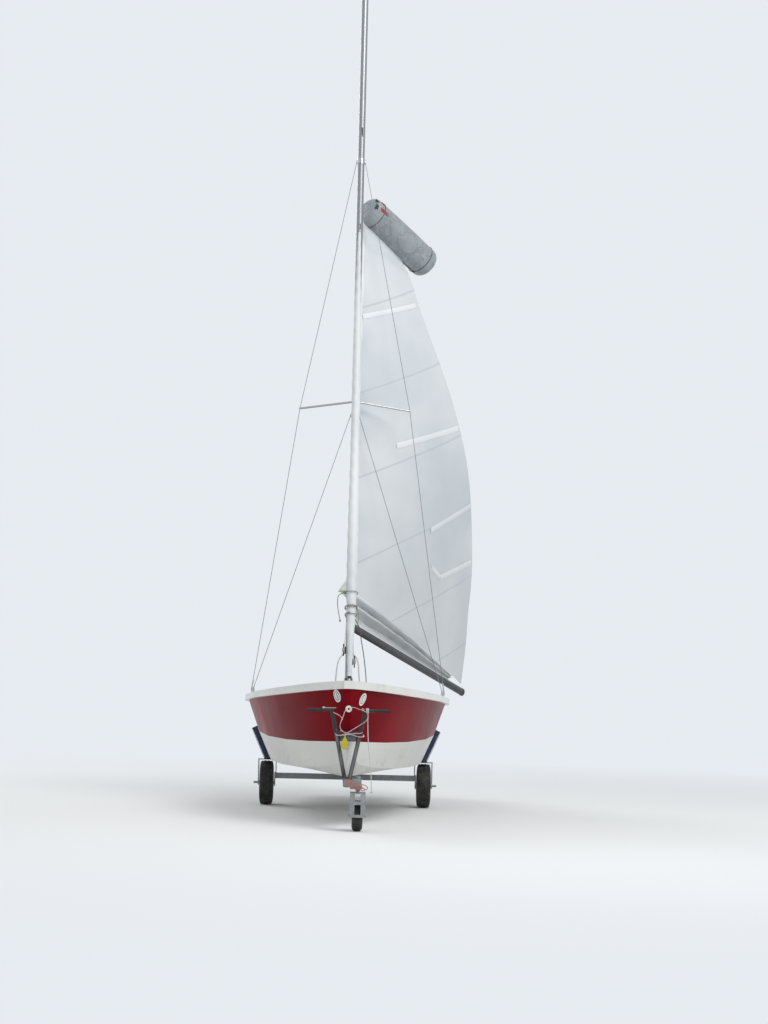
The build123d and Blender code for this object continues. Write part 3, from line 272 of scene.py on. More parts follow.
def hull_gelcoat():
    """Red above the upper chine, white below it and in the cockpit, scuffed low down."""
    finish = Finish("hull_gelcoat", Coat_Weight=0.03, Coat_Roughness=0.12, Specular_IOR_Level=0.04)
    aft = (finish.along - STEM_Y) / HULL_LENGTH
    line = finish.node("ValToRGB", {"stops": chine_stops()}, {"Fac": aft})
    above = finish.up > line
    middle = finish.across - CENTRE_X
    in_cockpit = (middle * middle < COCKPIT_HALF**2) * (finish.up > COCKPIT_FLOOR)
    in_cockpit = in_cockpit * (aft > COCKPIT_FRONT / HULL_LENGTH) * (aft < COCKPIT_BACK / HULL_LENGTH)
    red = finish.mix(finish.ramp(finish.noise(1.6, 5.0), 0.4, 0.7), paint("6f0512"), paint("820a18"))
    white = finish.mix(finish.noise(2.4, 5.0), paint("cfd0cb"), paint("e4e4df"))
    shade = finish.mix(above, white, red)
    shade = finish.mix(in_cockpit, shade, paint("dcdcd6"))
    scuffs = finish.noise(14.0, 8.0, 0.7, finish.stretch(1.0, 0.3, 1.0))
    low = 1 - finish.ramp(finish.up, 0.35, 0.66)
    shade = finish.mix(finish.ramp(scuffs, 0.52, 0.7) * low * 0.5, shade, paint("7f7b70"))
    streaks = finish.noise(9.0, 4.0, 0.6, finish.stretch(1.0, 1.0, 0.1))
    shade = finish.mix(finish.ramp(streaks, 0.6, 0.85) * above * 0.10, shade, paint("8f3a38"))
    rough = 0.24 + 0.18 * finish.noise(5.0, 6.0)
    return finish.wear(shade, rough, finish.noise(1.3, 2.0), 0.004)


FINISHES = {
    "hull": hull_gelcoat(),
    "deck": gelcoat("deck_gelcoat", paint("d9dad5")),
    "centreboard_case": gelcoat("case_gelcoat", paint("d2d3ce")),
    "rubbing_strake": gelcoat("strake_vinyl", paint("e2e2dc"), 0.2),
    "centreboard": gelcoat("board_laminate", paint("cfd0c8"), 0.3),
    "rudder_blade": gelcoat("blade_laminate", paint("d6d7d0"), 0.3),
}
print(len(FINISHES), "gelcoat finishes")

# %% [markdown]
# ## Metals
# Three metals meet on this boat. The spars are anodised aluminium, drawn lengthwise, so
# their fine lines run along them. The fittings are stainless. The trolley is dipped in
# zinc, which freezes in flat crystals, and cells of a Voronoi texture give those
# crystals their differing greys.

# %% Metals


def spar_metal(name, colour, rough):
    finish = Finish(name, Metallic=0.85)
    drawn = finish.noise(240.0, 2.0, 0.5, finish.stretch(1.0, 1.0, 0.01))
    blotch = finish.noise(1.6, 4.0)
    shade = finish.mix(blotch * 0.25, colour, paint("9a9a98"))
    return finish.wear(shade, rough + 0.08 * drawn, drawn, 0.00005)


def stainless(name, colour=paint("b9bbbd"), rough=0.22):
    finish = Finish(name, Metallic=1.0)
    scratches = finish.noise(220.0, 3.0, 0.7)
    tarnish = finish.noise(18.0, 4.0)
    shade = finish.mix(finish.ramp(tarnish, 0.45, 0.75) * 0.4, colour, paint("8b7f70"))
    return finish.wear(shade, rough + 0.2 * scratches, scratches, 0.0002)


def zinc_dip():
    finish = Finish("zinc_dip", Metallic=0.75)
    cells = finish.node("TexVoronoi", {}, {"Vector": finish.place, "Scale": 70.0}, "Color")
    crystal = cells.part("x")
    dull = finish.noise(7.0, 5.0, 0.6)
    shade = finish.mix(crystal, paint("84898b"), paint("a6abac"))
    shade = finish.mix(finish.ramp(dull, 0.4, 0.7) * 0.6, shade, paint("8f918d"))
    mud = finish.ramp(finish.noise(11.0, 6.0, 0.7), 0.55, 0.75) * (1 - finish.ramp(finish.up, 0.1, 0.5))
    shade = finish.mix(mud * 0.7, shade, paint("6d6250"))
    return finish.wear(shade, 0.4 + 0.25 * crystal, crystal * 0.3 + dull, 0.0006, 0.8 - 0.6 * mud)


def black_tube():
    """Painted tube, worn to the metal in spots, with pale streaks down the lower posts' fronts that are painted
    highlights.
    """
    finish = Finish("black_tube")
    worn = finish.ramp(finish.noise(26.0, 8.0, 0.7), 0.6, 0.72)
    shade = finish.mix(worn, paint("1b1c1e"), paint("6e7073"))
    # the lower posts' fronts face ahead, and the pale streaks laid on them are painted highlights
    front = (finish.along - STEM_Y < -0.104) * (finish.up < 0.75) * (finish.up > 0.41)
    highlight_streaks = finish.ramp(finish.noise(30.0, 6.0, 0.6, finish.stretch(1.0, 1.0, 0.1)), 0.35, 0.6)
    shade = finish.mix(front * highlight_streaks * 0.7, shade, paint("7c8182"))
    grip = (finish.up > 0.92) * (abs(finish.across - CENTRE_X) > 0.20)
    ribs = finish.node("Math", {"operation": "SINE"}, {0: finish.across * 900})
    rough = 0.35 + 0.25 * finish.noise(40.0) + 0.2 * grip
    bumps = finish.noise(150.0) - worn * 0.6 + ribs * grip * 0.8
    return finish.wear(shade, rough, bumps, 0.0005, worn * (1 - grip))


ZINC = zinc_dip()
STAINLESS = stainless("stainless_fitting")
FINISHES.update(
    mast=spar_metal("mast_anodised", paint("96989b"), 0.38),
    spreaders=spar_metal("spreader_anodised", paint("b3b5b7"), 0.3),
    boom=spar_metal("boom_black_anodised", paint("232427"), 0.32),
    rudder_stock=spar_metal("stock_anodised", paint("a4a6a8"), 0.35),
    shrouds=stainless("stay_wire", paint("8d9093"), 0.3),
    forestay=stainless("forestay_wire", paint("8d9093"), 0.3),
    handle_frame=black_tube(),
)
for name in ("mast_step", "mast_bands", "chainplates", "stem_fitting", "gooseneck", "boom_toggle", "gudgeons"):
    FINISHES[name] = STAINLESS
for name in ("drawbar", "axle_beam", "bilge_supports", "jockey_clamp", "jockey_fork"):
    FINISHES[name] = ZINC
print(len(FINISHES), "finishes with the metals")

# %% [markdown]
# ## Wood, rubber and moulded plastic
# Varnished wood is noise stretched along the plank, as its grain is, under a clear
# coat. Rubber is nearly black, dusty and never shiny. Moulded plastic has a faint pebble
# from its mould.

# %% Wood, rubber and plastic


def varnish(name, grain_axis):
    finish = Finish(name, Coat_Weight=0.8, Coat_Roughness=0.08)
    squeeze = {"x": (0.06, 1.0, 1.0), "y": (1.0, 0.06, 1.0)}[grain_axis]
    grain = finish.noise(70.0, 6.0, 0.65, finish.stretch(*squeeze))
    band = finish.noise(7.0, 3.0, 0.5, finish.stretch(*squeeze))
    shade = finish.mix(finish.ramp(grain, 0.35, 0.65), paint("6f3f1c"), paint("a8682f"))
    shade = finish.mix(band * 0.5, shade, paint("4d2911"))
    return finish.wear(shade, 0.3 + 0.1 * grain, grain, 0.0004)


def rubber(name, colour, dust=paint("6b665c")):
    finish = Finish(name)
    dirt = finish.ramp(finish.noise(16.0, 7.0, 0.65), 0.42, 0.75)
    shade = finish.mix(dirt * 0.6, colour, dust)
    return finish.wear(shade, 0.62 + 0.25 * dirt, finish.noise(160.0, 3.0), 0.0006)


def moulded(name, colour):
    finish = Finish(name)
    dirt = finish.ramp(finish.noise(12.0, 6.0, 0.6), 0.5, 0.8)
    shade = finish.mix(dirt * 0.5, colour, paint("75706a"))
    return finish.wear(shade, 0.42 + 0.2 * dirt, finish.noise(400.0, 2.0), 0.0003)


TYRE = rubber("tyre_rubber", paint("1c1c1d"))
RIM = moulded("rim_plastic", paint("c9cbc9"))
FINISHES.update(
    thwart=varnish("thwart_varnish", "x"),
    floorboards=varnish("floorboard_varnish", "y"),
    tiller=varnish("tiller_varnish", "y"),
    furling_drum=moulded("drum_plastic", paint("17181a")),
    boom_cap=moulded("boom_cap_plastic", paint("141516")),
    bow_eye=moulded("bow_eye_plastic", paint("dfe0dc")),
    keel_chocks=rubber("chock_rubber", paint("141415")),
    bow_pad=rubber("bow_pad_rubber", paint("5f7476"), paint("8f958f")),
)
for name in ("tyre_port", "tyre_starboard", "jockey_tyre"):
    FINISHES[name] = TYRE
for name in ("rim_port", "rim_starboard", "jockey_rim"):
    FINISHES[name] = RIM
for name, material in FINISHES.items():
    nodes[name].data.materials.clear()
    nodes[name].data.materials.append(material)
print("dressed", len(FINISHES), "nodes; left for cloth:", sorted(set(nodes) - set(FINISHES)))

# %% [markdown]
# ## Meshes from rows of points
# Sails, tubes and pads are all grids: rows of points joined to the next row. One helper
# makes such a mesh with its UV map in metres, so that seams and weave can be drawn to
# scale, and gives the piece its finish, its body and the node that it stands for.

# %% Meshes from rows of points


def place_piece(name, mesh, material, body=BOAT, stands_for=()):
    mesh.name = name
    mesh.materials.clear()
    mesh.materials.append(material)
    piece = bpy.data.objects.new(name, mesh)
    bpy.context.scene.collection.objects.link(piece)
    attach(piece, body)
    if stands_for:
        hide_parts(*stands_for)
    return piece


def grid_mesh(rows, flat, around=False):
    """A mesh of quads from rows of points. flat holds each point's place on the flat cloth."""
    mesh = bpy.data.meshes.new("grid")
    wide = len(rows[0])
    steps = wide if around else wide - 1
    faces = []
    corners = []
    for i in range(len(rows) - 1):
        for j in range(steps):
            k = (j + 1) % wide
            faces.append((i * wide + j, i * wide + k, (i + 1) * wide + k, (i + 1) * wide + j))
            last = j + 1
            corners += [flat[i][j], flat[i][last], flat[i + 1][last], flat[i + 1][j]]
    mesh.from_pydata([p for row in rows for p in row], [], faces)
    uv = mesh.uv_layers.new(name="cloth")
    for loop, place in zip(uv.data, corners):
        loop.uv = place
    mesh.shade_smooth()
    return mesh


def mended(mesh, merge=0.0, fill=False):
    """Merge a mesh's points that meet, close its open ends and turn its faces outward."""
    form = bmesh.new()
    form.from_mesh(mesh)
    if merge:
        bmesh.ops.remove_doubles(form, verts=form.verts, dist=merge)
    if fill:
        bmesh.ops.holes_fill(form, edges=[e for e in form.edges if e.is_boundary])
    bmesh.ops.recalc_face_normals(form, faces=form.faces)
    form.to_mesh(mesh)
    form.free()
    return mesh


def runs(points):
    """How far along a line each of its points lies."""
    found = [0.0]
    for a, b in zip(points, points[1:]):
        found.append(found[-1] + (b - a).length)
    return found


def smooth_table(table, steps):
    """Rows of a table carried smoothly through, as steps even steps of its first column."""
    rows = []
    for n in range(steps + 1):
        x = table[0][0] + (table[-1][0] - table[0][0]) * n / steps
        i = max(0, min(len(table) - 2, sum(row[0] <= x for row in table) - 1))
        a, b = table[i], table[i + 1]
        before = table[i - 1] if i else a
        after = table[i + 2] if i + 2 < len(table) else b
        width = b[0] - a[0]
        t = (x - a[0]) / width
        row = [x]
        for c in range(1, len(a)):
            slope_a = (b[c] - before[c]) / (b[0] - before[0]) * width
            slope_b = (after[c] - a[c]) / (after[0] - a[0]) * width
            h1, h2 = 2 * t**3 - 3 * t**2 + 1, 3 * t**2 - 2 * t**3
            h3, h4 = t**3 - 2 * t**2 + t, t**3 - t**2
            row.append(h1 * a[c] + h2 * b[c] + h3 * slope_a + h4 * slope_b)
        rows.append(row)
    return rows


def waves(seed, *place):
    """Smooth noise from -1 to 1 at a place, shifted by a seed."""
    x, y, z = (*place, 0.0, 0.0)[:3]
    return noise.noise(Vector((x + seed * 7.3, y + seed * 3.1, z + seed)))


print("grid helpers ready")

# %% [markdown]
# ## A fair hull
# The CAD hull is made of straight runs between stations, and in glossy paint each change
# of direction shows as a crease. A real moulding is fair: its sides curve evenly. Here
# the faces stay where they are and only the normals that shading uses are carried
# smoothly from station to station, so that the sides reflect like a fair hull and the
# chines stay crisp.

# %% A fair hull


def copied_mesh(node, name, shrink=0.0):
    """A merged copy of a CAD node's mesh, its faces pulled in along their normals."""
    mesh = nodes[node].data.copy()
    mesh.name = name
    form = bmesh.new()
    form.from_mesh(mesh)
    bmesh.ops.remove_doubles(form, verts=form.verts, dist=1e-5)
    form.normal_update()
    if shrink:
        for vertex in form.verts:
            vertex.co -= vertex.normal * shrink
    form.to_mesh(mesh)
    form.free()
    return mesh


def section(row):
    """Half a station: keel, lower chine, upper chine and deck edge."""
    aft, keel, *chines = row
    return [Vector((x, aft, z)) for x, z in zip((0, *chines[0::2]), (keel, *chines[1::2]))]


def fair_normals(panel):
    """At each station, the way out of one panel of the port side."""
    found = []
    for i, row in enumerate(STATIONS):
        before = section(STATIONS[max(0, i - 1)])
        after = section(STATIONS[min(len(STATIONS) - 1, i + 1)])
        here = section(row)
        along = after[panel] + after[panel + 1] - before[panel] - before[panel + 1]
        found.append(along.cross(here[panel + 1] - here[panel]).normalized())
    return found


def at_station(values, aft):
    """A value between those of the stations on either side."""
    i = max(0, min(len(STATIONS) - 2, sum(row[0] <= aft for row in STATIONS) - 1))
    near, far = STATIONS[i][0], STATIONS[i + 1][0]
    return values[i].lerp(values[i + 1], max(0.0, min(1.0, (aft - near) / (far - near))))


RAILS = list(zip(*[section(row) for row in STATIONS]))
FAIR = [fair_normals(panel) for panel in range(3)]
# a face belongs to a panel that it lies this near to and faces within this cosine of
PANEL_NEAR, PANEL_FACING = 0.004, 0.8


def panel_of(place, way):
    """Which panel a face belongs to, from its middle and its normal on the port side."""
    for panel in range(3):
        low, high = at_station(RAILS[panel], place.y), at_station(RAILS[panel + 1], place.y)
        span = high - low
        share = max(0.0, min(1.0, (place - low).dot(span) / span.length_squared))
        near = (low + span * share - place).length < PANEL_NEAR
        if near and way.dot(at_station(FAIR[panel], place.y)) > PANEL_FACING:
            return panel
    return None


hull_mesh = copied_mesh("hull", "hull_skin")
normals = []
for face in hull_mesh.polygons:
    side = 1 if face.center.x > CENTRE_X else -1
    place = Vector((side * (face.center.x - CENTRE_X), face.center.y - STEM_Y, face.center.z))
    panel = panel_of(place, Vector((side * face.normal.x, face.normal.y, face.normal.z)))
    for corner in face.vertices:
        way = face.normal.copy()
        if panel is not None:
            way = at_station(FAIR[panel], hull_mesh.vertices[corner].co.y - STEM_Y).normalized()
            way.x *= side
        normals.append(way)
hull_mesh.shade_smooth()
hull_mesh.normals_split_custom_set(normals)
place_piece("hull_skin", hull_mesh, FINISHES["hull"], stands_for=["hull"])
print("hull skin of", len(hull_mesh.polygons), "faces")

# %% [markdown]
# ## Repeats
# Screw heads and tread blocks are the same small piece over and over along a line.
# Geometry Nodes sets them out from four named inputs: a line whose points carry the way
# out of the surface, a spacing, the piece and its finish. Each copy's Z follows the way
# out and its X follows the line. The copies are made real at the end, so that an export
# and a triangle count see plain mesh.

# %% Repeats


def repeat_tree():
    """A node tree that sets copies of an object along a line."""
    tree = bpy.data.node_groups.new("repeat_along", "GeometryNodeTree")
    for name, kind in (("Line", "Geometry"), ("Spacing", "Float"), ("Unit", "Object"), ("Finish", "Material")):
        tree.interface.new_socket(name, in_out="INPUT", socket_type=f"NodeSocket{kind}")
    tree.interface.new_socket("Copies", in_out="OUTPUT", socket_type="NodeSocketGeometry")

    def add(kind, **settings):
        node = tree.nodes.new(kind)
        for name, value in settings.items():
            setattr(node, name, value)
        return node

    start, end = add("NodeGroupInput"), add("NodeGroupOutput")
    curve = add("GeometryNodeMeshToCurve")
    even = add("GeometryNodeResampleCurve", mode="LENGTH")
    place = add("GeometryNodeInstanceOnPoints")
    unit = add("GeometryNodeObjectInfo")
    way = add("GeometryNodeInputNamedAttribute", data_type="FLOAT_VECTOR")
    way.inputs["Name"].default_value = "out"
    tangent = add("GeometryNodeInputTangent")
    rise = add("FunctionNodeAlignRotationToVector", axis="Z")
    turn = add("FunctionNodeAlignRotationToVector", axis="X", pivot_axis="Z")
    real = add("GeometryNodeRealizeInstances")
    finish = add("GeometryNodeSetMaterial")
    links = (
        (start, "Line", curve, "Mesh"),
        (curve, "Curve", even, "Curve"),
        (start, "Spacing", even, "Length"),
        (even, "Curve", place, "Points"),
        (start, "Unit", unit, "Object"),
        (unit, "Geometry", place, "Instance"),
        (way, "Attribute", rise, "Vector"),
        (rise, "Rotation", turn, "Rotation"),
        (tangent, "Tangent", turn, "Vector"),
        (turn, "Rotation", place, "Rotation"),
        (place, "Instances", real, "Geometry"),
        (real, "Geometry", finish, "Geometry"),
        (start, "Finish", finish, "Material"),
        (finish, "Geometry", end, "Copies"),
    )
    for source, leaving, target, entering in links:
        out = next(s for s in source.outputs if s.name == leaving and s.enabled)
        into = next(s for s in target.inputs if s.name == entering and s.enabled)
        tree.links.new(out, into)
    return tree


REPEAT = repeat_tree()
SOCKETS = {s.name: s.identifier for s in REPEAT.interface.items_tree if s.in_out == "INPUT"}
print("the tree takes", sorted(SOCKETS))

# %% [markdown]
# ## Screws along the strakes
# The rubbing strake is screwed to the hull, and the heads show as a row of dots. A line
# through the stations carries the tree, and its unit is a low round plug. The same call
# later sets the blocks of a tyre's tread, so a block is made here as well.

# %% Screws along the strakes


def repeated(name, lines, spacing, unit, material, body):
    """Copies of a unit mesh along lines of (place, way out) pairs, as one plain mesh."""
    points, ways, edges = [], [], []
    for line in lines:
        edges += [(len(points) + i, len(points) + i + 1) for i in range(len(line) - 1)]
        points += [place for place, _ in line]
        ways += [way for _, way in line]
    mesh = bpy.data.meshes.new("lines")
    mesh.from_pydata(points, edges, [])
    carried = mesh.attributes.new("out", "FLOAT_VECTOR", "POINT")
    carried.data.foreach_set("vector", [c for way in ways for c in way])
    holder = bpy.data.objects.new("lines", mesh)
    sample = bpy.data.objects.new("unit", unit)
    for thing in (holder, sample):
        bpy.context.scene.collection.objects.link(thing)
    modifier = holder.modifiers.new("repeat", "NODES")
    modifier.node_group = REPEAT
    modifier[SOCKETS["Spacing"]] = spacing
    modifier[SOCKETS["Unit"]] = sample
    modifier[SOCKETS["Finish"]] = material
    graph = bpy.context.evaluated_depsgraph_get()
    copies = bpy.data.meshes.new_from_object(holder.evaluated_get(graph))
    for thing in (holder, sample):
        bpy.data.objects.remove(thing)
    print(name, "has", len(copies.polygons) // max(1, len(unit.polygons)), "copies")
    return place_piece(name, copies, material, body)


def plug(radius, height, sides=10, taper=0.7):
    """A low round head that stands on Z = 0."""
    form = bmesh.new()
    lift = Matrix.Translation((0, 0, height / 2))
    bmesh.ops.create_cone(
        form, cap_ends=True, segments=sides, radius1=radius, radius2=radius * taper, depth=height, matrix=lift
    )
    mesh = bpy.data.meshes.new("plug")
    form.to_mesh(mesh)
    form.free()
    return mesh


def block(length, width, height, chamfer=0.15):
    """A block on Z = 0 whose top is a little smaller than its foot."""
    mesh = bpy.data.meshes.new("block")
    points = []
    for z, cut in ((0, 0), (height * 0.6, 0), (height, chamfer)):
        a, b = length / 2 * (1 - cut), width / 2 * (1 - cut)
        points += [(-a, -b, z), (a, -b, z), (a, b, z), (-a, b, z)]
    faces = [(3, 2, 1, 0), (8, 9, 10, 11)]
    for low in (0, 4):
        faces += [(low + k, low + (k + 1) % 4, low + 4 + (k + 1) % 4, low + 4 + k) for k in range(4)]
    mesh.from_pydata(points, [], faces)
    return mesh


strake_screws = []
for side in (1, -1):
    line = []
    for row in STATIONS[1:]:
        aft, edge_x, edge_z = row[0], row[6], row[7]
        line.append((spot(side * (edge_x + 0.0235), aft, edge_z - 0.006), Vector((side, 0, 0))))
    strake_screws.append(line)
repeated("strake_screws", strake_screws, 0.18, plug(0.0045, 0.0018), STAINLESS, BOAT)

# %% [markdown]
# ## Tyres
# A tyre is a profile turned round its axle, and blocks stand in rows on its tread. The
# carcass is sunk by the blocks' height, so that their tops reach the CAD tyre's radius
# and the wheel stands on the floor. The rows are lines round the axle for the repeats,
# and five bolts on each side of a rim are repeats too.

# %% Tyres
TYRE_PROFILE = (
    # share of the width, radius
    (-0.42, 0.104),
    (-0.46, 0.112),
    (-0.49, 0.128),
    (-0.50, 0.140),
    (-0.495, 0.156),
    (-0.485, 0.158),
    (-0.475, 0.172),
    (-0.455, 0.179),
    (-0.40, 0.187),
    (-0.32, 0.1925),
    (-0.16, 0.1955),
    (0.00, 0.1960),
)
JOCKEY_PROFILE = (
    (-0.36, 0.0624),
    (-0.44, 0.072),
    (-0.50, 0.086),
    (-0.49, 0.094),
    (-0.44, 0.108),
    (-0.36, 0.1130),
    (-0.26, 0.1160),
    (0.00, 0.1165),
)


def turned(middle, width, profile, steps=72):
    """A profile and its mirror image turned round a level axle."""
    whole = [*profile, *[(-share, radius) for share, radius in reversed(profile[:-1])]]
    rows, flat = [], []
    for n in range(steps + 1):
        angle = 2 * math.pi * n / steps
        round_at = Vector((0, math.cos(angle), math.sin(angle)))
        ring = [middle + Vector((share * width, 0, 0)) + round_at * radius for share, radius in whole]
        rows.append([*ring, ring[0]])
        flat.append([(angle, k / len(whole)) for k in range(len(whole) + 2)])
    return mended(grid_mesh(rows, flat), 1e-6)


def round_rows(middle, radius, offsets, count, sideways=False, steps=96):
    """Lines round an axle that stop one space short of closing, for a count of copies each."""
    lines = []
    for offset, drop, lean in offsets:
        line = []
        for n in range(steps + 1):
            angle = 2 * math.pi * n / steps * (1 - 1 / count)
            out = Vector((0, math.cos(angle), math.sin(angle)))
            way = (out + Vector((lean, 0, 0))).normalized()
            if sideways:
                way = Vector((math.copysign(1, offset), 0, 0))
            line.append((middle + Vector((offset, 0, 0)) + out * (radius - drop), way))
        lines.append(line)
    return lines


DEEPEST_ROW = 0.009


def dress_wheel(name, body, middle, width, radius, profile, tread, count, unit):
    """A turned carcass in place of the CAD tyre, and a count of blocks in each row of tread."""
    place_piece(f"{name}_carcass", turned(middle, width, profile), TYRE, body, [name])
    # a hair less than the true spacing, so that the last copy isn't lost to rounding
    spacing = 2 * math.pi * (radius - DEEPEST_ROW) / count * 0.998
    repeated(f"{name}_tread", round_rows(middle, radius, tread, count), spacing, unit, TYRE, body)


WHEEL_OUT, AXLE_AFT, WHEEL_RADIUS, TYRE_WIDE = 0.72, 3.05, 0.200, 0.125
MAIN_TREAD = (
    # across, below the radius, lean outward
    (-0.042, 0.0085, -0.25),
    (-0.0145, 0.0045, 0.0),
    (0.0145, 0.0045, 0.0),
    (0.042, 0.0085, 0.25),
)
RIM_FACE, BOLT_CIRCLE, BOLTS, BOLT_SPACING = 0.0101, 0.054, 5, 0.0678
for side, name in ((1, "port"), (-1, "starboard")):
    middle, body = spot(side * WHEEL_OUT, AXLE_AFT, WHEEL_RADIUS), f"wheel_{name}"
    unit = block(0.0185, 0.021, 0.0045)
    dress_wheel(f"tyre_{name}", body, middle, TYRE_WIDE, WHEEL_RADIUS, TYRE_PROFILE, MAIN_TREAD, 46, unit)
    bolts = round_rows(middle, BOLT_CIRCLE, ((RIM_FACE, 0, 0), (-RIM_FACE, 0, 0)), BOLTS, True)
    head = plug(0.0065, 0.006, 6, 0.95)
    repeated(f"rim_bolts_{name}", bolts, BOLT_SPACING, head, STAINLESS, body)

JOCKEY_TREAD = ((-0.020, 0.0042, -0.12), (0.0, 0.0038, 0.0), (0.020, 0.0042, 0.12))
JOCKEY_RADIUS, JOCKEY_WIDE = 0.120, 0.084
middle = spot(0.086, -0.002, JOCKEY_RADIUS)
unit = block(0.016, 0.0145, 0.0038)
dress_wheel(
    "jockey_tyre", "jockey_wheel", middle, JOCKEY_WIDE, JOCKEY_RADIUS, JOCKEY_PROFILE, JOCKEY_TREAD, 31, unit
)

# %% [markdown]
# ## Rope's colours
# Each rope's cover is a braid of two colours. Two wave textures on its UV map give it:
# a fine slanting one for the plait and a coarse one along the rope for the flecks. Dirt
# from the beach dulls all of them.

# %% Rope's colours


def rope_cloth(name, colours, soil=0.35):
    """Braid flecked with a second colour."""
    finish = Finish(name, Sheen_Weight=0.3)
    cloth = finish.node("UVMap", {"uv_map": "cloth"})
    plait = finish.node("TexWave", {"bands_direction": "DIAGONAL"}, {"Vector": cloth, "Scale": 120.0})
    fleck = finish.node("TexWave", {"bands_direction": "X"}, {"Vector": cloth, "Scale": 26.0})
    shade = finish.mix(fleck > 0.72, paint(colours[0]), paint(colours[1]))
    dirt = finish.ramp(finish.noise(40.0, 5.0, 0.6), 0.45, 0.8)
    shade = finish.mix(dirt * soil, shade, paint("7a756b"))
    return finish.wear(shade, 0.7 + 0.2 * plait, plait, 0.0006)


WHITE_ROPE = rope_cloth("white_rope", ("d6d3cb", "b9b5ab"))
PINK_ROPE = rope_cloth("pink_rope", ("dccfc9", "b9606c"))
ORANGE_ROPE = rope_cloth("orange_rope", ("c98f7c", "8e3b34"))
CRIMSON_ROPE = rope_cloth("crimson_webbing", ("8f2a33", "a8434a"))
YELLOW_ROPE = rope_cloth("yellow_green_rope", ("a9a85c", "7d7c3a"), 0.3)
BROWN_ROPE = rope_cloth("brown_rope", ("7a746b", "3c3833"))
GREY_ROPE = rope_cloth("grey_rope", ("5e6265", "3a3d40"))
print("seven colours of rope")

# %% [markdown]
# ## Paths and tubes
# A rope's route is a NURBS curve of a few points, so it hangs in smooth bends as rope
# does. A tube follows a path with rings of points, and each ring's frame is carried on
# from the last without turning, so nothing twists on a bend.

# %% Paths and tubes


def route_points(points, fineness=10):
    """The points of a smooth NURBS line that is drawn by a route's points."""
    curve = bpy.data.curves.new("route", "CURVE")
    curve.dimensions = "3D"
    curve.resolution_u = fineness
    spline = curve.splines.new("NURBS")
    spline.points.add(len(points) - 1)
    for place, point in zip(spline.points, points):
        place.co = (*point, 1)
    spline.order_u = 3
    spline.use_endpoint_u = True
    holder = bpy.data.objects.new("route", curve)
    bpy.context.scene.collection.objects.link(holder)
    graph = bpy.context.evaluated_depsgraph_get()
    line = bpy.data.meshes.new_from_object(holder.evaluated_get(graph))
    found = [vertex.co.copy() for vertex in line.vertices]
    bpy.data.objects.remove(holder)
    return found


def even_points(points, step):
    """The same line with points an even step apart."""
    lengths = runs(points)
    count = max(2, round(lengths[-1] / step))
    found, i = [], 0
    for n in range(count + 1):
        want = lengths[-1] * n / count
        while i < len(points) - 2 and lengths[i + 1] < want:
            i += 1
        span = max(lengths[i + 1] - lengths[i], 1e-9)
        found.append(points[i].lerp(points[i + 1], min(1.0, (want - lengths[i]) / span)))
    return found


def tube_rows(points, size, sides=6):
    """Rings of points round a path, each ring's frame carried on from the last."""
    rows = []
    across = None
    for i, point in enumerate(points):
        ahead = points[min(i + 1, len(points) - 1)] - points[max(i - 1, 0)]
        ahead.normalize()
        if across is None:
            across = ahead.orthogonal().normalized()
        across = (across - ahead * across.dot(ahead)).normalized()
        up = ahead.cross(across)
        rows.append((point, across, up))
    rings = []
    for point, across, up in rows:
        turns = [2 * math.pi * k / sides for k in range(sides)]
        rings.append([point + (across * math.cos(a) + up * math.sin(a)) * size for a in turns])
    return rings, rows


def joined(meshes):
    """One mesh from several."""
    form = bmesh.new()
    for mesh in meshes:
        form.from_mesh(mesh)
        bpy.data.meshes.remove(mesh)
    whole = bpy.data.meshes.new("joined")
    form.to_mesh(whole)
    form.free()
    whole.shade_smooth()
    return whole


def closed_tube(points, size, sides=8):
    """A tube round a path with rounded ends and its UV map in metres."""
    rings, frames = tube_rows(points, size, sides)
    ends = []
    for index, outward in ((0, -1), (-1, 1)):
        point, across, up = frames[index]
        ahead = across.cross(up) * outward
        small = [point + (q - point) * 0.6 + ahead * size * 0.5 for q in rings[index]]
        tip = [point + ahead * size * 0.62 for _ in rings[index]]
        ends.append((small, tip))
    rings = [ends[0][1], ends[0][0], *rings, ends[1][0], ends[1][1]]
    girth = [2 * math.pi * size * k / sides for k in range(sides + 1)]
    flat = [[(run, g) for g in girth] for run in runs([ring[0] for ring in rings])]
    return mended(grid_mesh(rings, flat, around=True), 1e-6)


print("paths and tubes are ready")

# %% [markdown]
# ## Strands, knots and turns
# Rope is three strands twisted together, so a mesh of three thin tubes that wind round
# one path looks right from close by and costs little. A stopper knot is a trefoil, and
# turns round a bar are a helix.

# %% Strands, knots and turns


def rope_mesh(points, radius, twist=0.045):
    """Three strands round a path."""
    path = even_points(points, min(0.006, radius * 1.4))
    frames = tube_rows(path, radius)[1]
    strands = []
    lengths = runs(path)
    for strand in range(3):
        line = []
        for run, (point, across, up) in zip(lengths, frames):
            angle = 2 * math.pi * (strand / 3 + run / twist)
            line.append(point + (across * math.cos(angle) + up * math.sin(angle)) * radius * 0.46)
        strands.append(closed_tube(line, radius * 0.54, 6))
    return joined(strands)


KNOT_STEPS = 60


def knot_mesh(middle, axis, size, radius):
    """A stopper knot: one trefoil turn of the rope."""
    side = axis.orthogonal().normalized()
    other = axis.cross(side)
    loop = []
    for n in range(KNOT_STEPS + 1):
        t = 2 * math.pi * n / KNOT_STEPS
        a, b = math.sin(t) + 2 * math.sin(2 * t), math.cos(t) - 2 * math.cos(2 * t)
        c = -math.sin(3 * t)
        loop.append(middle + (side * a + other * b) * size / 3 + axis * c * size * 0.45)
    return closed_tube(loop, radius, 8)


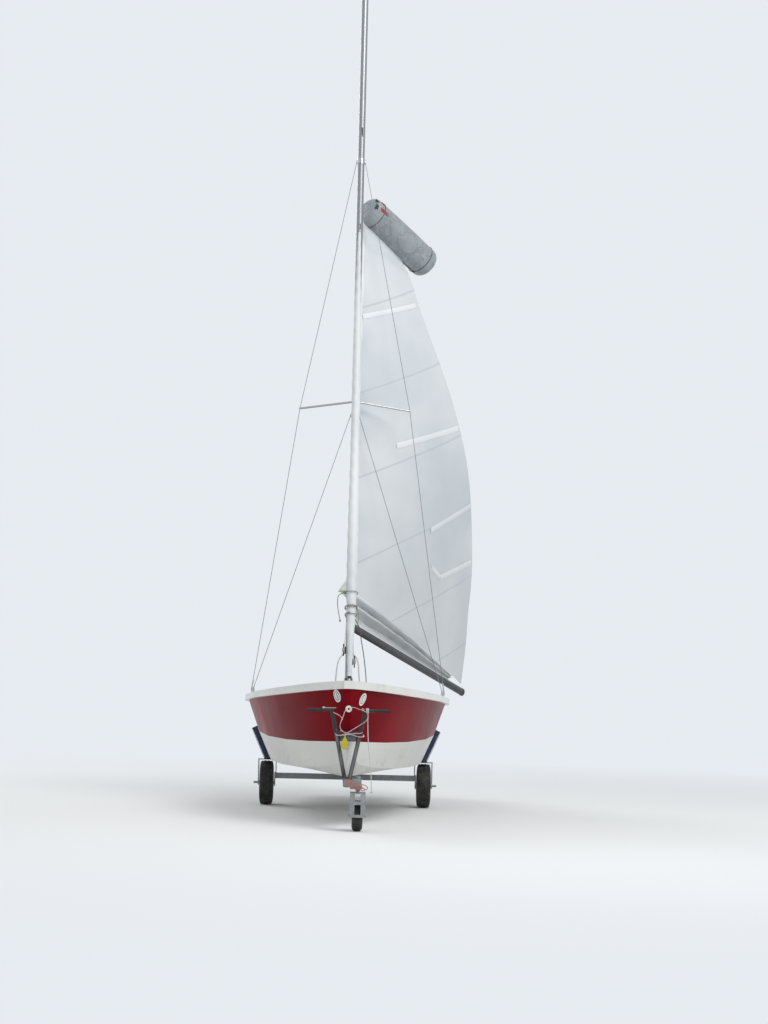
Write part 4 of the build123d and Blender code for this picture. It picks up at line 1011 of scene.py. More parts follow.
def wound(middle, axis, radius, rope, turns, pitch):
    """The path of rope wound round a bar."""
    side = axis.orthogonal().normalized()
    other = axis.cross(side)
    path = []
    steps = round(turns * 28)
    for n in range(steps + 1):
        angle = 2 * math.pi * turns * n / steps
        along = axis * pitch * (turns * n / steps - turns / 2)
        path.append(middle + along + (side * math.cos(angle) + other * math.sin(angle)) * (radius + rope))
    return path


print("rope, knots and turns are ready")

# %% [markdown]
# ## The painter and the jib sheet's tail
# Two ropes hang free. The painter, the boat's bow rope, is tied round the trolley's handle
# and hangs beside it to a stopper knot. The tail of the jib sheet hangs from the clew of
# the rolled jib. Their routes are the CAD solids' own points, so they hang where the
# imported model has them.

# %% The painter and the jib sheet's tail
ROPE_RADIUS = 0.004
KNOT_BACK, KNOT_SIZE, KNOT_ROPE = 0.008, 0.0075, 0.0032
PAINTER = (
    # across, aft, up, in metres
    (0.150, -0.092, 0.9267),
    (0.151, -0.094, 0.822),
    (0.156, -0.098, 0.716),
    (0.166, -0.101, 0.612),
    (0.179, -0.103, 0.508),
    (0.189, -0.105, 0.404),
    (0.192, -0.108, 0.302),
)
JIB_TAIL_START = Vector((-0.1720, -2.4672, 1.8693))
JIB_TAIL = (
    # from its start: across, aft, up
    (0, 0, 0),
    (-0.058, -0.004, -0.006),
    (-0.066, -0.009, -0.074),
    (-0.056, -0.013, -0.154),
    (-0.038, -0.015, -0.232),
)


def hanging_rope(name, node, points, cloth):
    """A cord in place of its CAD solid, with a stopper knot at its end."""
    line = route_points(points)
    length = runs(line)[-1]
    piece = place_piece(f"{name}_rope", rope_mesh(line, ROPE_RADIUS), cloth, stands_for=[node])
    way = (line[-1] - line[-2]).normalized()
    knot = knot_mesh(line[-1] - way * KNOT_BACK, way, KNOT_SIZE, KNOT_ROPE)
    end = place_piece(f"{name}_knot", knot, cloth)
    print(name, "is", round(length, 3), "m long")


hanging_rope("painter", "painter", [spot(*row) for row in PAINTER], WHITE_ROPE)
tail = [JIB_TAIL_START + Vector(row) for row in JIB_TAIL]
hanging_rope("jib_tail", "jib_tail", tail, YELLOW_ROPE)

# %% [markdown]
# ## Lashings at the bow
# The bow's ring is tied back to the trolley's handle, and a lashing crosses the crossbar.
# The sailors of such boats use whatever short line is at hand, white flecked with pink,
# so one list of routes draws them all: each is a few points that pass in front of or
# round the posts. A tangle of the same line is bound round the drawbar's front end.

# %% Lashings at the bow
LASHINGS = (
    # each route's points are across, aft, up in metres
    # from the ring to the left post
    (
        (-0.018, -0.016, 0.949), (-0.030, -0.050, 0.932), (-0.038, -0.090, 0.905), (-0.052, -0.108, 0.868),
        (-0.066, -0.112, 0.832), (-0.064, -0.114, 0.800), (-0.046, -0.116, 0.778), (-0.016, -0.118, 0.762),
    ),
    # a turn round the left post
    (
        (-0.125, -0.098, 0.925), (-0.112, -0.113, 0.918), (-0.089, -0.112, 0.910), (-0.071, -0.104, 0.899),
        (-0.053, -0.100, 0.884), (-0.047, -0.108, 0.866),
    ),
    # from the ring to the right post and back over the crossbar
    (
        (0.018, -0.016, 0.962), (0.050, -0.050, 0.964), (0.082, -0.090, 0.948), (0.104, -0.110, 0.950),
        (0.117, -0.114, 0.938), (0.146, -0.112, 0.926), (0.153, -0.100, 0.905), (0.150, -0.110, 0.880),
        (0.136, -0.116, 0.858), (0.070, -0.120, 0.815), (0.0, -0.120, 0.770), (-0.030, -0.118, 0.757),
        (-0.070, -0.114, 0.744), (-0.100, -0.104, 0.752), (-0.104, -0.088, 0.768), (-0.090, -0.070, 0.775),
    ),
    # two lines on the crossbar
    (
        (-0.102, -0.090, 0.774), (-0.101, -0.108, 0.758), (-0.084, -0.116, 0.742), (-0.034, -0.118, 0.748),
        (0.010, -0.120, 0.756), (0.040, -0.118, 0.750), (0.066, -0.116, 0.740), (0.108, -0.112, 0.735),
        (0.122, -0.098, 0.742), (0.118, -0.078, 0.752),
    ),
    (
        (-0.064, -0.110, 0.784), (-0.040, -0.114, 0.775), (-0.012, -0.120, 0.764), (0.022, -0.117, 0.757),
        (0.050, -0.115, 0.762), (0.088, -0.112, 0.764), (0.112, -0.100, 0.768), (0.112, -0.080, 0.772),
    ),
    # along the starboard grip
    ((-0.100, -0.092, 0.9575), (-0.130, -0.093, 0.9575), (-0.160, -0.092, 0.9575), (-0.196, -0.092, 0.958)),
)
TANGLE = (
    (
        (-0.030, -0.135, 0.412), (0.000, -0.166, 0.404), (0.045, -0.152, 0.374), (0.085, -0.124, 0.352),
        (0.128, -0.114, 0.336), (0.156, -0.106, 0.330), (0.164, -0.090, 0.344), (0.146, -0.090, 0.362),
        (0.118, -0.104, 0.368), (0.100, -0.092, 0.378),
    ),
    (
        (0.030, -0.140, 0.404), (0.018, -0.164, 0.384), (0.036, -0.158, 0.352), (0.064, -0.140, 0.334),
        (0.094, -0.128, 0.332), (0.110, -0.122, 0.350), (0.090, -0.126, 0.374), (0.052, -0.144, 0.390),
        (0.020, -0.164, 0.396), (-0.020, -0.162, 0.372),
    ),
    (
        (-0.026, -0.140, 0.368), (-0.004, -0.165, 0.352), (0.026, -0.160, 0.366), (0.058, -0.142, 0.362),
        (0.086, -0.122, 0.340), (0.116, -0.112, 0.324), (0.142, -0.104, 0.320), (0.138, -0.092, 0.336),
        (0.108, -0.090, 0.350), (0.070, -0.118, 0.358), (0.034, -0.142, 0.344),
    ),
)
LASHING_KNOTS = (
    # across, aft, up, size
    (0.110, -0.114, 0.950, 0.0085),
    (-0.020, -0.124, 0.760, 0.0085),
    (-0.198, -0.092, 0.958, 0.0065),
    (-0.102, -0.096, 0.772, 0.006),
    (0.120, -0.094, 0.742, 0.006),
    (0.148, -0.094, 0.926, 0.008),
)
KNOT_FACES = Vector((0.4, -1, 0.2)).normalized()
LASHING_RADIUS = 0.0034


def placed(route):
    """A route in the boat's measures as a smooth path."""
    return route_points([spot(*row) for row in route])


lines = [rope_mesh(placed(route), LASHING_RADIUS) for route in LASHINGS]
lines += [knot_mesh(spot(*row[:3]), KNOT_FACES, row[3], KNOT_ROPE) for row in LASHING_KNOTS]
lashings = joined(lines)
place_piece("bow_lashings", lashings, PINK_ROPE)


def bound(middle, axis, half, rope, turns, pitch):
    """The path of rope bound round a square bar, pulled in on its flats."""
    other = axis.cross(PORT)
    path = []
    steps = round(turns * 32)
    for n in range(steps + 1):
        angle = 2 * math.pi * turns * n / steps
        flat_out = (half + rope) / max(abs(math.cos(angle)), abs(math.sin(angle)))
        out = min(flat_out, (half + rope) * 1.30)
        along = axis * pitch * (turns * n / steps - turns / 2)
        path.append(middle + along + (PORT * math.cos(angle) + other * math.sin(angle)) * out)
    return path


bar_axis = (spot(0, AXLE_AFT, 0.265) - spot(0, -0.15, 0.378)).normalized()
paths = [
    bound(spot(0, -0.126, 0.377), bar_axis, 0.025, 0.0038, 4.5, 0.0085),
    wound(spot(0.086, -0.040, 0.345), UP, 0.0285, 0.0036, 3.2, 0.009),
    *[placed(route) for route in TANGLE],
]
tangle = joined([rope_mesh(path, LASHING_RADIUS) for path in paths])
place_piece("drawbar_lashing", tangle, ORANGE_ROPE)
top_turns = rope_mesh(wound(spot(0.147, -0.092, 0.940), PORT, 0.0130, 0.0040, 3.0, 0.0075), 0.0038)
place_piece("painter_turns", top_turns, WHITE_ROPE)
print("lashings of", len(lashings.polygons), "and a tangle of", len(tangle.polygons), "faces")

# %% [markdown]
# ## Stickers
# Two white ovals lie on the bow's sides. A sticker has to lie flush, so its points are
# laid on the same panel that the hull's normals came from, lifted by half a millimetre.
# Both carry no words, only a plain ring and a leaf shape drawn by their UV map.

# %% Stickers


def on_topside(side, aft, height, lift):
    """A place on the red panel, a little off its surface."""
    low, high = at_station(RAILS[2], aft), at_station(RAILS[3], aft)
    share = (height - low.z) / (high.z - low.z)
    point = low.lerp(high, share) + at_station(FAIR[2], aft).normalized() * lift
    return spot(side * point.x, point.y, point.z)


def sticker_face():
    finish = Finish("sticker_vinyl", Coat_Weight=0.3)
    place = finish.node("UVMap", {"uv_map": "cloth"})
    away = finish.node("VectorMath", {"operation": "LENGTH"}, {0: place}, "Value")
    ring = (away > 0.60) * (away < 0.72)
    bend = place.part("x") - 0.35 * place.part("y") * place.part("y") + 0.1
    leaf = (abs(bend) < 0.13) * (away < 0.46)
    shade = finish.mix(ring, paint("e4e3df"), paint("3a3d3f"))
    shade = finish.mix(leaf, shade, paint("5d7267"))
    return finish.wear(shade, 0.35 + 0.2 * finish.noise(60.0))


STICKER_RINGS, STICKER_STEPS = 6, 28
STICKER_LIFT = 0.0006
# the topsides run aft at a slant, so a length seen from ahead is shorter along the boat
SLANT = 0.80


def sticker(side, aft, height, half_wide, half_high, lean):
    """An oval of rings that lies on the hull."""
    rows, flat = [], []
    for ring in range(STICKER_RINGS + 1):
        share = ring / STICKER_RINGS
        row, flat_row = [], []
        for n in range(STICKER_STEPS + 1):
            angle = 2 * math.pi * n / STICKER_STEPS
            u, v = math.cos(angle) * share, math.sin(angle) * share
            along = u * half_wide + lean * v * half_high
            row.append(on_topside(side, aft + along * SLANT, height + v * half_high, STICKER_LIFT))
            flat_row.append((u, v))
        rows.append(row)
        flat.append(flat_row)
    mesh = grid_mesh(rows, flat)
    if side < 0:
        mesh.flip_normals()
    return mesh


STICKER = sticker_face()
port = sticker(1, 0.088, 1.024, 0.033, 0.050, 0.30)
starboard = sticker(-1, 0.070, 1.048, 0.034, 0.050, 0.16)
place_piece("bow_sticker_port", port, STICKER)
place_piece("bow_sticker_starboard", starboard, STICKER)
print("stickers are on")

# %% [markdown]
# ## The tag
# The tag is a drop-shaped plate with rounded edges. Its outline is drawn once and
# repeated at six depths, with the outer ones pulled in, and a loop of cord holds it.

# %% The tag
TAG = (
    # across and up from its middle
    (0.0, 0.046), (0.010, 0.036), (0.022, 0.010), (0.029, -0.018), (0.024, -0.040), (0.008, -0.050),
    (-0.010, -0.050), (-0.025, -0.040), (-0.030, -0.018), (-0.023, 0.010), (-0.010, 0.036), (0.0, 0.046),
)
TAG_DEPTHS = (
    # aft, share of the outline's size
    (-0.122, 0.0), (-0.122, 0.90), (-0.1235, 1.0), (-0.1285, 1.0), (-0.130, 0.90), (-0.130, 0.0),
)
TAG_LOOP = (
    (-0.018, -0.124, 0.756), (-0.030, -0.126, 0.745), (-0.026, -0.131, 0.730), (-0.020, -0.126, 0.742),
    (-0.014, -0.124, 0.758),
)
rows = [[spot(-0.025 + x * size, aft, 0.690 + z * size) for x, z in TAG] for aft, size in TAG_DEPTHS]
flat = [[(x * size, z * size) for x, z in TAG] for _, size in TAG_DEPTHS]
place_piece("bow_tag", grid_mesh(rows, flat), moulded("tag_rubber", paint("b9ab22")))
place_piece("tag_loop", closed_tube(placed(TAG_LOOP), 0.0014, 6), WHITE_ROPE)
print("the tag hangs")

# %% [markdown]
# ## Sailcloth
# Dinghy sails are woven polyester, filled with resin so that they hold a flat shape. They
# are sewn from panels, and a seam shows as a greyer band because the cloth is doubled.
# The UV map of a cloth holds metres along and up the sail, so that a seam is one straight
# line in it and the weave is as fine as the real one. Colour varies very little: what
# shapes a white sail for the eye is light on its curve, so the creases are in the mesh.

# %% Sailcloth
SEAM_SLOPE = 0.36
SEAM_FIRST = 2.15
SEAM_STEP = 0.75


def sailcloth(name, base="d6d9db", shade_to="c5cbcf", soil=0.12, seams=False):
    finish = Finish(name, Sheen_Weight=0.1, Sheen_Roughness=0.5)
    cloth = finish.node("UVMap", {"uv_map": "cloth"})
    weave_a = finish.node("TexWave", {"bands_direction": "X"}, {"Vector": cloth, "Scale": 300.0})
    weave_b = finish.node("TexWave", {"bands_direction": "Y"}, {"Vector": cloth, "Scale": 300.0})
    cloud = finish.noise(0.9, 4.0, 0.5)
    crush = finish.noise(3.2, 5.0, 0.55, finish.stretch(1.0, 1.0, 0.45))
    shade = finish.mix(finish.ramp(cloud, 0.35, 0.7), paint(base), paint(shade_to))
    stain = finish.ramp(finish.noise(5.0, 7.0, 0.7), 0.6, 0.85)
    shade = finish.mix(stain * soil, shade, paint("b3afa2"))
    bumps = (weave_a + weave_b) * 0.04 + crush * 0.5
    if seams:
        # two overlapping panels let less light through, so a seam is a greyer band
        panel = (cloth.part("y") - SEAM_SLOPE * cloth.part("x") - SEAM_FIRST) / SEAM_STEP
        away = finish.node("Math", {"operation": "PINGPONG"}, {0: panel, 1: 0.5})
        seam = 1 - finish.ramp(away, 0.010, 0.014)
        shade = finish.mix(seam * 0.6, shade, paint("b9bec3"))
        bumps = bumps + seam * 0.6
    return finish.wear(shade, 0.48 + 0.15 * cloud, bumps, 0.0012)


MAIN_CLOTH = sailcloth("mainsail_cloth", seams=True)
POCKET_CLOTH = sailcloth("batten_pocket_cloth", "e6e8e9", "d9dcdf", 0.05)
# the gathered foot is the mainsail's own cloth, made darker and greyer as painted shade, with more soil on it
SHADED_FOOT_CLOTH = sailcloth("gathered_cloth_shaded", "cfd2d3", "b4babf", 0.25)
JIB_CLOTH = sailcloth("jib_cloth", "dcdedd", "c6cbce", 0.25)
print("cut four cloths")

# %% [markdown]
# ## The mainsail
# The sail is a curved surface held along its luff by the mast, and its leech is free. Each
# level is given by a short table: the heights of luff and leech, the swing from dead aft,
# the chord and the camber. The levels are carried smoothly between the rows. Slack in the
# halyard lets creases run out from the luff, and the leech flutters a little.

# %% The mainsail
MAST_AFT = 1.62
MAST_FOOT = 1.09166
RAKE = math.radians(1.8)
PIN_AFT = 0.054
SAIL_IN = 0.008
SAIL_LEVELS = (
    # luff_z, leech_z, swing, reach, camber
    (1.935, 1.130, 24.8, 2.620, 0.050),
    (2.250, 1.830, 29.4, 2.330, 0.100),
    (2.800, 2.440, 35.1, 1.980, 0.110),
    (3.750, 3.540, 43.0, 1.400, 0.090),
    (4.700, 4.610, 42.0, 0.795, 0.045),
    (5.235, 4.960, 40.8, 0.600, 0.012),
)
TUCK_FROM, TUCK_DEPTH = 4.90, 0.078
ACROSS = 56
UPWARD = 110


def pin_aft(height):
    """How far aft the luff line is at a height."""
    return MAST_AFT + (height - MAST_FOOT) * math.tan(RAKE) + PIN_AFT


def off_luff(height, swing, reach, drop, aside):
    """A place off the luff: swung from dead aft, out, down and to port of the chord."""
    angle = math.radians(swing)
    across = reach * math.sin(angle) + aside * math.cos(angle)
    aft = pin_aft(height) + reach * math.cos(angle) - aside * math.sin(angle)
    return spot(across, aft, height - drop)


def sail_point(level, share, aside=0.0):
    """A place on the sail by its share of the chord."""
    luff, leech, swing, reach, camber = level
    belly = 4 * camber * share * (1 - share)
    # the deepest camber lies forward of the middle
    belly *= 1 + 0.35 * (0.5 - share)
    return off_luff(luff, swing, SAIL_IN + share * (reach - SAIL_IN), share * (luff - leech), belly + aside)


def head_tuck(share, luff):
    """How far the sail's head is drawn in behind the air cushion."""
    height = max(0.0, min(1.0, (luff - TUCK_FROM) / 0.22))
    start = min(1.0, share / 0.25)
    smooth = height * height * (3 - 2 * height) * start * start * (3 - 2 * start)
    return -TUCK_DEPTH * smooth * (1 - 0.75 * share)


def sail_crease(share, height):
    """Creases: short fans from the luff, long diagonals to the clew and a fluttering leech."""
    fan = math.exp(-share * 6) * 0.009 * math.sin(height * 17 + 2.4 * waves(1, share * 2, height * 2))
    drape = 0.012 * waves(2, share * 1.6 + height * 0.7, height * 0.9) * (1 - share * 0.4)
    flutter = 0.010 * share**4 * waves(3, height * 2.3, 1.0)
    slack = 0.016 * math.exp(-((height - 2.15) ** 2) / 0.06) * waves(4, share * 5 - height * 3, height * 2)
    return (fan + drape + flutter + slack) * min(1.0, share * 30) + head_tuck(share, height)


levels = smooth_table(SAIL_LEVELS, UPWARD)
shares = [j / ACROSS for j in range(ACROSS + 1)]
rows = [[sail_point(level, s, sail_crease(s, level[0])) for s in shares] for level in levels]
flat = [[(s * level[3], level[0] - s * (level[0] - level[1])) for s in shares] for level in levels]
mainsail_mesh = grid_mesh(rows, flat)
mainsail = place_piece("mainsail_cloth", mainsail_mesh, MAIN_CLOTH, "boom", ["mainsail"])
sail_area = sum(face.area for face in mainsail_mesh.polygons)
print("mainsail area", round(sail_area, 2), "square metres")

# %% [markdown]
# ## Batten pockets and patches
# Battens are stiff strips in sewn pockets that hold the leech out, and doubled patches
# take the pull at the corners and reef points. Each is a narrow band of cloth that lies
# on both faces of the sail. A helper finds the sail's surface at a distance from the luff
# and a height, so that a band given by a few such places follows every curve.

# %% Batten pockets and patches


def level_at(luff):
    """The sail's level whose luff is at a height."""
    place = (luff - levels[0][0]) / (levels[-1][0] - levels[0][0]) * UPWARD
    place = max(0.0, min(UPWARD - 1e-6, place))
    low = levels[int(place)]
    high = levels[int(place) + 1]
    return [a + (b - a) * (place - int(place)) for a, b in zip(low, high)]


def on_sail(from_luff, height, aside):
    """The sail's surface at a distance from the luff and a height, set aside to port."""
    luff = height
    for _ in range(14):
        level = level_at(luff)
        share = min(1.0, from_luff / level[3])
        luff = height + share * (level[0] - level[1])
    return sail_point(level, share, sail_crease(share, level[0]) + aside)


def band_rows(route, half, aside, crown):
    """Rows of points across a band that follows a route on the sail."""
    rows, flat, run = [], [], 0.0
    for (u0, z0), (u1, z1) in zip(route, route[1:]):
        length = math.hypot(u1 - u0, z1 - z0)
        steps = max(2, round(length / 0.03))
        for n in range(steps + (1 if (u1, z1) == tuple(route[-1]) else 0)):
            t = n / steps
            u, z = u0 + t * (u1 - u0), z0 + t * (z1 - z0)
            across = [(c / 3 - 1) * half for c in range(7)]
            side = [(u - w * (z1 - z0) / length, z + w * (u1 - u0) / length) for w in across]
            lift = [aside * (1 + crown * (1 - (w / half) ** 2)) for w in across]
            rows.append([on_sail(max(0.01, a), b, high) for (a, b), high in zip(side, lift)])
            flat.append([(run + t * length, w) for w in across])
        run += length
    return rows, flat


BANDS = (
    # name, route from the luff and up, half width, crown
    ("top_batten", ((0.05, 4.335), (0.76, 4.53)), 0.022, 1.4),
    ("second_batten", ((0.47, 3.23), (1.40, 3.48)), 0.026, 1.4),
    ("third_batten", ((1.10, 2.52), (1.79, 2.80)), 0.026, 1.4),
    ("reef_batten", ((1.45, 2.11), (2.03, 2.28)), 0.028, 1.4),
    ("reef_strut", ((1.24, 2.20), (1.45, 2.11)), 0.020, 1.0),
    ("luff_tape", ((0.022, 1.95), (0.022, 5.20)), 0.020, 0.4),
)
BAND_LIFT = 0.0022
for band, route, half, crown in BANDS:
    for side, aside in (("port", BAND_LIFT), ("starboard", -BAND_LIFT)):
        mesh = grid_mesh(*band_rows(route, half, aside, crown))
        place_piece(f"{band}_{side}", mesh, POCKET_CLOTH, "boom")
round(sail_area * 0.99, 2)

# %% [markdown]
# ## The gathered foot
# The lower part of the sail isn't hoisted: it lies in loose folds along the boom. Its
# section is a zigzag of soft folds, wide near the mast and thin at the clew. It is built
# as rows of one zigzag whose width and height follow a table along the boom, with the
# folds wandering sideways by a smooth noise.

# %% The gathered foot
BOOM_HEIGHT = 1.630
BOOM_DROOP = math.radians(12)
BOOM_OUT = 24.3
BOOM_ALONG = Vector((math.sin(math.radians(BOOM_OUT)), math.cos(math.radians(BOOM_OUT)), 0))
BOOM_ASIDE = Vector((math.cos(math.radians(BOOM_OUT)), -math.sin(math.radians(BOOM_OUT)), 0))
BOOM_DEEP = 0.072
GATHERS = (
    # reach along the boom, half a width
    (0.070, 0.050),
    (0.320, 0.075),
    (0.800, 0.068),
    (1.500, 0.048),
    (2.350, 0.024),
)
FOLDS = 5
FOLD_POINTS = 15
GATHER_ROWS = 130


def boom_top(reach):
    """The height of the boom's top at a distance along it."""
    return BOOM_HEIGHT - reach * math.tan(BOOM_DROOP) + BOOM_DEEP / 2 / math.cos(BOOM_DROOP)


def gathered_section(reach, half):
    """A zigzag from the sail's lower edge down to the boom's top."""
    pin = off_luff(BOOM_HEIGHT, BOOM_OUT, 0, 0, 0)
    near, far = [(sail_point(SAIL_LEVELS[0], end) - pin).dot(BOOM_ALONG) for end in (0, 1)]
    top = sail_point(SAIL_LEVELS[0], (reach - near) / (far - near))
    low, high = boom_top(reach) + 0.006, top.z - 0.003
    middle = off_luff(BOOM_HEIGHT, BOOM_OUT, reach, 0, 0)
    lean = (top - middle).dot(BOOM_ASIDE)
    points = []
    for n in range(FOLDS * FOLD_POINTS + 1):
        t = n / (FOLDS * FOLD_POINTS)
        swing = math.sin(t * FOLDS * math.pi + 1.2 * waves(5, reach * 2.3, t * 3))
        bulge = math.sin(math.pi * min(1.0, t * 1.15)) ** 0.6
        out = half * 0.88 * swing * bulge * (0.75 + 0.25 * waves(6, reach * 4, t * 5))
        out += lean * (1 - t) ** 1.3
        rise = low + (high - low) * (1 - t)
        rise += 0.3 * (high - low) / FOLDS * math.sin(2 * t * FOLDS * math.pi) * (1 - t) * t
        rise += 0.006 * waves(7, reach * 9, t * 8) * bulge
        points.append(Vector((middle.x, middle.y, max(low, rise))) + BOOM_ASIDE * out)
    return points


rows = [gathered_section(reach, half) for reach, half in smooth_table(GATHERS, GATHER_ROWS)]
spans = runs([row[0] for row in rows])
gather_mesh = grid_mesh(rows, [[(span, run) for run in runs(row)] for span, row in zip(spans, rows)])
gathered = place_piece("gathered_sailcloth", gather_mesh, SHADED_FOOT_CLOTH, "boom", ["gathered_foot"])
gather_area = sum(face.area for face in gather_mesh.polygons)
round(gather_area * 0.99, 2)
print("gathered foot area", round(gather_area, 2), "square metres")

# %% [markdown]
# ## The furled jib
# The jib is rolled round its stay like a blind. A roll is a spiral, so each section is a
# spiral of several turns, and its outer turn is where the eye sees the cloth's edge climb
# round the roll. The radius follows a table up the stay, and the turns sag and wrinkle
# a little because a roll is never quite tight.

# %% The furled jib
JIB_ROLL = (
    # up the stay, radius of the roll
    (0.018, 0.021),
    (0.237, 0.025),
    (0.420, 0.033),
    (0.788, 0.047),
    (1.878, 0.041),
    (3.078, 0.034),
    (4.073, 0.014),
)
JIB_ROWS = 150
ROW_HEIGHT = (JIB_ROLL[-1][0] - JIB_ROLL[0][0]) / JIB_ROWS
lowest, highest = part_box("forestay")
stay_foot = Vector(((lowest.x + highest.x) / 2, lowest.y, lowest.z))
stay_head = Vector(((lowest.x + highest.x) / 2, highest.y, highest.z))
stay_run = (stay_head - stay_foot).normalized()
stay_back = stay_run.cross(PORT)
TURNS, TURN_POINTS = 6, 26


def jib_section(up, radius):
    """One level of the roll: a spiral of several turns."""
    points = []
    for n in range(TURNS * TURN_POINTS + 1):
        t = n / (TURNS * TURN_POINTS)
        angle = t * TURNS * 2 * math.pi + 0.55 * up
        size = 0.006 + (radius - 0.008) * t**0.8
        size *= 1 + 0.07 * waves(8, math.cos(angle), math.sin(angle) + up * 2.2) * t
        size += 0.002 * math.sin(up * 46 + angle * 1.3) * t
        points.append(
            stay_foot + stay_run * up + (PORT * math.cos(angle) + stay_back * math.sin(angle)) * size
        )
    return points


rows = [jib_section(up, radius) for up, radius in smooth_table(JIB_ROLL, JIB_ROWS)]
flat = [[(run, i * ROW_HEIGHT) for run in runs(row)] for i, row in enumerate(rows)]
jib_mesh = grid_mesh(rows, flat)
jib = place_piece("rolled_jib", jib_mesh, JIB_CLOTH, stands_for=["furled_jib"])
jib_area = sum(face.area for face in jib_mesh.polygons)
round(jib_area * 0.98, 2)
print("jib area", round(jib_area, 2), "square metres")

# %% [markdown]
# ## Small fittings
# A boat like this is full of bought fittings: cleats for the ropes that hoist the sails,
# turnbuckles under the stays, hatches to the bow tank, straps to hook one's feet under,
# and a hinged extension on the tiller. Nearly all are bars with rounded edges and rings,
# so two helpers make them, and places on the mast and the deck come from two more.

# %% Small fittings
MAST_BASE = 1.045
DECK_CAMBER = 0.022
BLACK_PLASTIC = moulded("fitting_plastic", paint("1b1c1e"))
WEBBING = Finish("webbing", Sheen_Weight=0.3)
WEBBING.wear(
    WEBBING.mix(WEBBING.noise(30.0, 5.0), paint("25282c"), paint("3b4046")), 0.75 + 0.1 * WEBBING.noise(200.0),
    WEBBING.node("TexWave", {"bands_direction": "Y"}, {"Vector": WEBBING.place, "Scale": 180.0}), 0.0006,
)


def on_mast(up, across, ahead):
    """A place by the mast: its height, to port of its axis and ahead of it."""
    return spot(across, MAST_AFT + (up - MAST_BASE) * math.tan(RAKE) - ahead, up)


def deck_height(across, aft):
    """The cambered deck's height."""
    edge = at_station(RAILS[3], aft)
    return edge.z + DECK_CAMBER * max(0.0, 1 - (across / edge.x) ** 2)


def bar(start, end, wide, deep, up=UP):
    """A bar with a rounded rectangle as its section."""
    ahead = (end - start).normalized()
    side = ahead.cross(up).normalized()
    rise = side.cross(ahead)
    section = []
    for sx, sy in ((1, 1), (-1, 1), (-1, -1), (1, -1)):
        for a, b in (((1, 0.6), (0.6, 1)) if sx * sy > 0 else ((0.6, 1), (1, 0.6))):
            section.append(side * (sx * a * wide / 2) + rise * (sy * b * deep / 2))
    rows = [[start + q * 0.2 for q in section], [start + q for q in section]]
    rows += [[end + q for q in section], [end + q * 0.2 for q in section]]
    flat = [[(k / 8, i / 3) for k in range(9)] for i in range(4)]
    return mended(grid_mesh(rows, flat, around=True), fill=True)


def bar_about(middle, half, wide, deep, up=UP):
    """A bar that reaches half its length both ways from its middle."""
    return bar(middle - half, middle + half, wide, deep, up)


def ring_of(middle, axis, size, thick, count=28):
    side = axis.orthogonal().normalized()
    other = axis.cross(side)
    turns = [2 * math.pi * n / count for n in range(count + 1)]
    return closed_tube([middle + (side * math.cos(a) + other * math.sin(a)) * size for a in turns], thick, 8)


def crisp(mesh, degrees=35):
    """The same mesh with its hard edges kept hard."""
    mesh.set_sharp_from_angle(angle=math.radians(degrees))
    return mesh


metal, plastic, rope, webbing, lids = [], [], [], [], []
print("bars and rings are ready")

# %% [markdown]
# ## Cleats and halyards
# Two cleats on the mast's sides hold turns of rope. The halyards leave the mast through
# slots, one below the stay and one above it, and come out again low down to be cleated.

# %% Cleats and halyards
for across, up, side in ((0.031, 1.32, 1), (-0.031, 1.42, -1)):
    foot = on_mast(up, across + side * 0.001, 0)
    horn = foot + PORT * (side * 0.016)
    plastic.append(bar_about(foot, UP * 0.028, 0.012, 0.014, PORT))
    plastic.append(bar_about(horn, UP * 0.052, 0.010, 0.010, PORT))
    rope.append(closed_tube(wound(horn, UP, 0.009, 0.003, 4.0, 0.008), 0.003, 6))
HALYARDS = (
    # port +, height of the exit slot, its length, height of its cleat
    (0.022, 5.112, 0.050, 1.345),
    (-0.022, 5.953, 0.085, 1.445),
)
for across, top, long, low in HALYARDS:
    plastic.append(bar_about(on_mast(top, 0.004, 0.0355), UP * (long / 2), 0.013, 0.007, AFT))
    start, end = on_mast(low + 0.24, across * 1.15, 0.030), on_mast(low, across * 1.9, 0.012)
    line = [start, start.lerp(end, 0.2) + PORT * (across * 0.1), start.lerp(end, 0.6), end]
    rope.append(closed_tube(line, 0.0028, 6))
    plastic.append(bar_about(start, UP * 0.022, 0.011, 0.011, AFT))
place_piece("halyards", joined(rope), WHITE_ROPE)

# %% [markdown]
# ## On the deck
# A turnbuckle, a threaded tube that sets a stay's pull, joins each shroud to its
# chainplate. Two round hatches open the bow tank.

# %% On the deck
STAY_OUT = 0.838
HATCH_OUT, HATCH_AFT, HATCH = 0.42, 1.30, 0.066
for side in (1, -1):
    for aft in (2.010, 2.028):
        foot = spot(side * STAY_OUT, aft, deck_height(STAY_OUT, aft) + 0.074)
        lean = (on_mast(5.75, 0, 0) - foot).normalized()
        metal.append(closed_tube([foot + lean * 0.004, foot + lean * 0.060], 0.0052, 8))
for side in (1, -1):
    middle = spot(side * HATCH_OUT, HATCH_AFT, deck_height(HATCH_OUT, HATCH_AFT))
    lids.append(ring_of(middle + UP * 0.003, Vector((side * 0.04, 0, 1)).normalized(), HATCH, 0.006))
    lid = plug(HATCH, 0.006, 32, 0.94)
    lid.transform(Matrix.Translation(middle - UP * 0.001))
    lids += [lid, bar_about(middle + UP * 0.008, PORT * 0.03, 0.010, 0.008)]
place_piece("tank_hatches", crisp(joined(lids)), moulded("hatch_plastic", paint("c7c9c6")))

# %% [markdown]
# ## Leads and toe straps
# A lead on each side deck turns the jib's sheet toward the helm. In the cockpit, a strap
# on each side hangs slack between two bars, and the crew hook their feet under it to lean
# out. Four flat bars follow its sag.

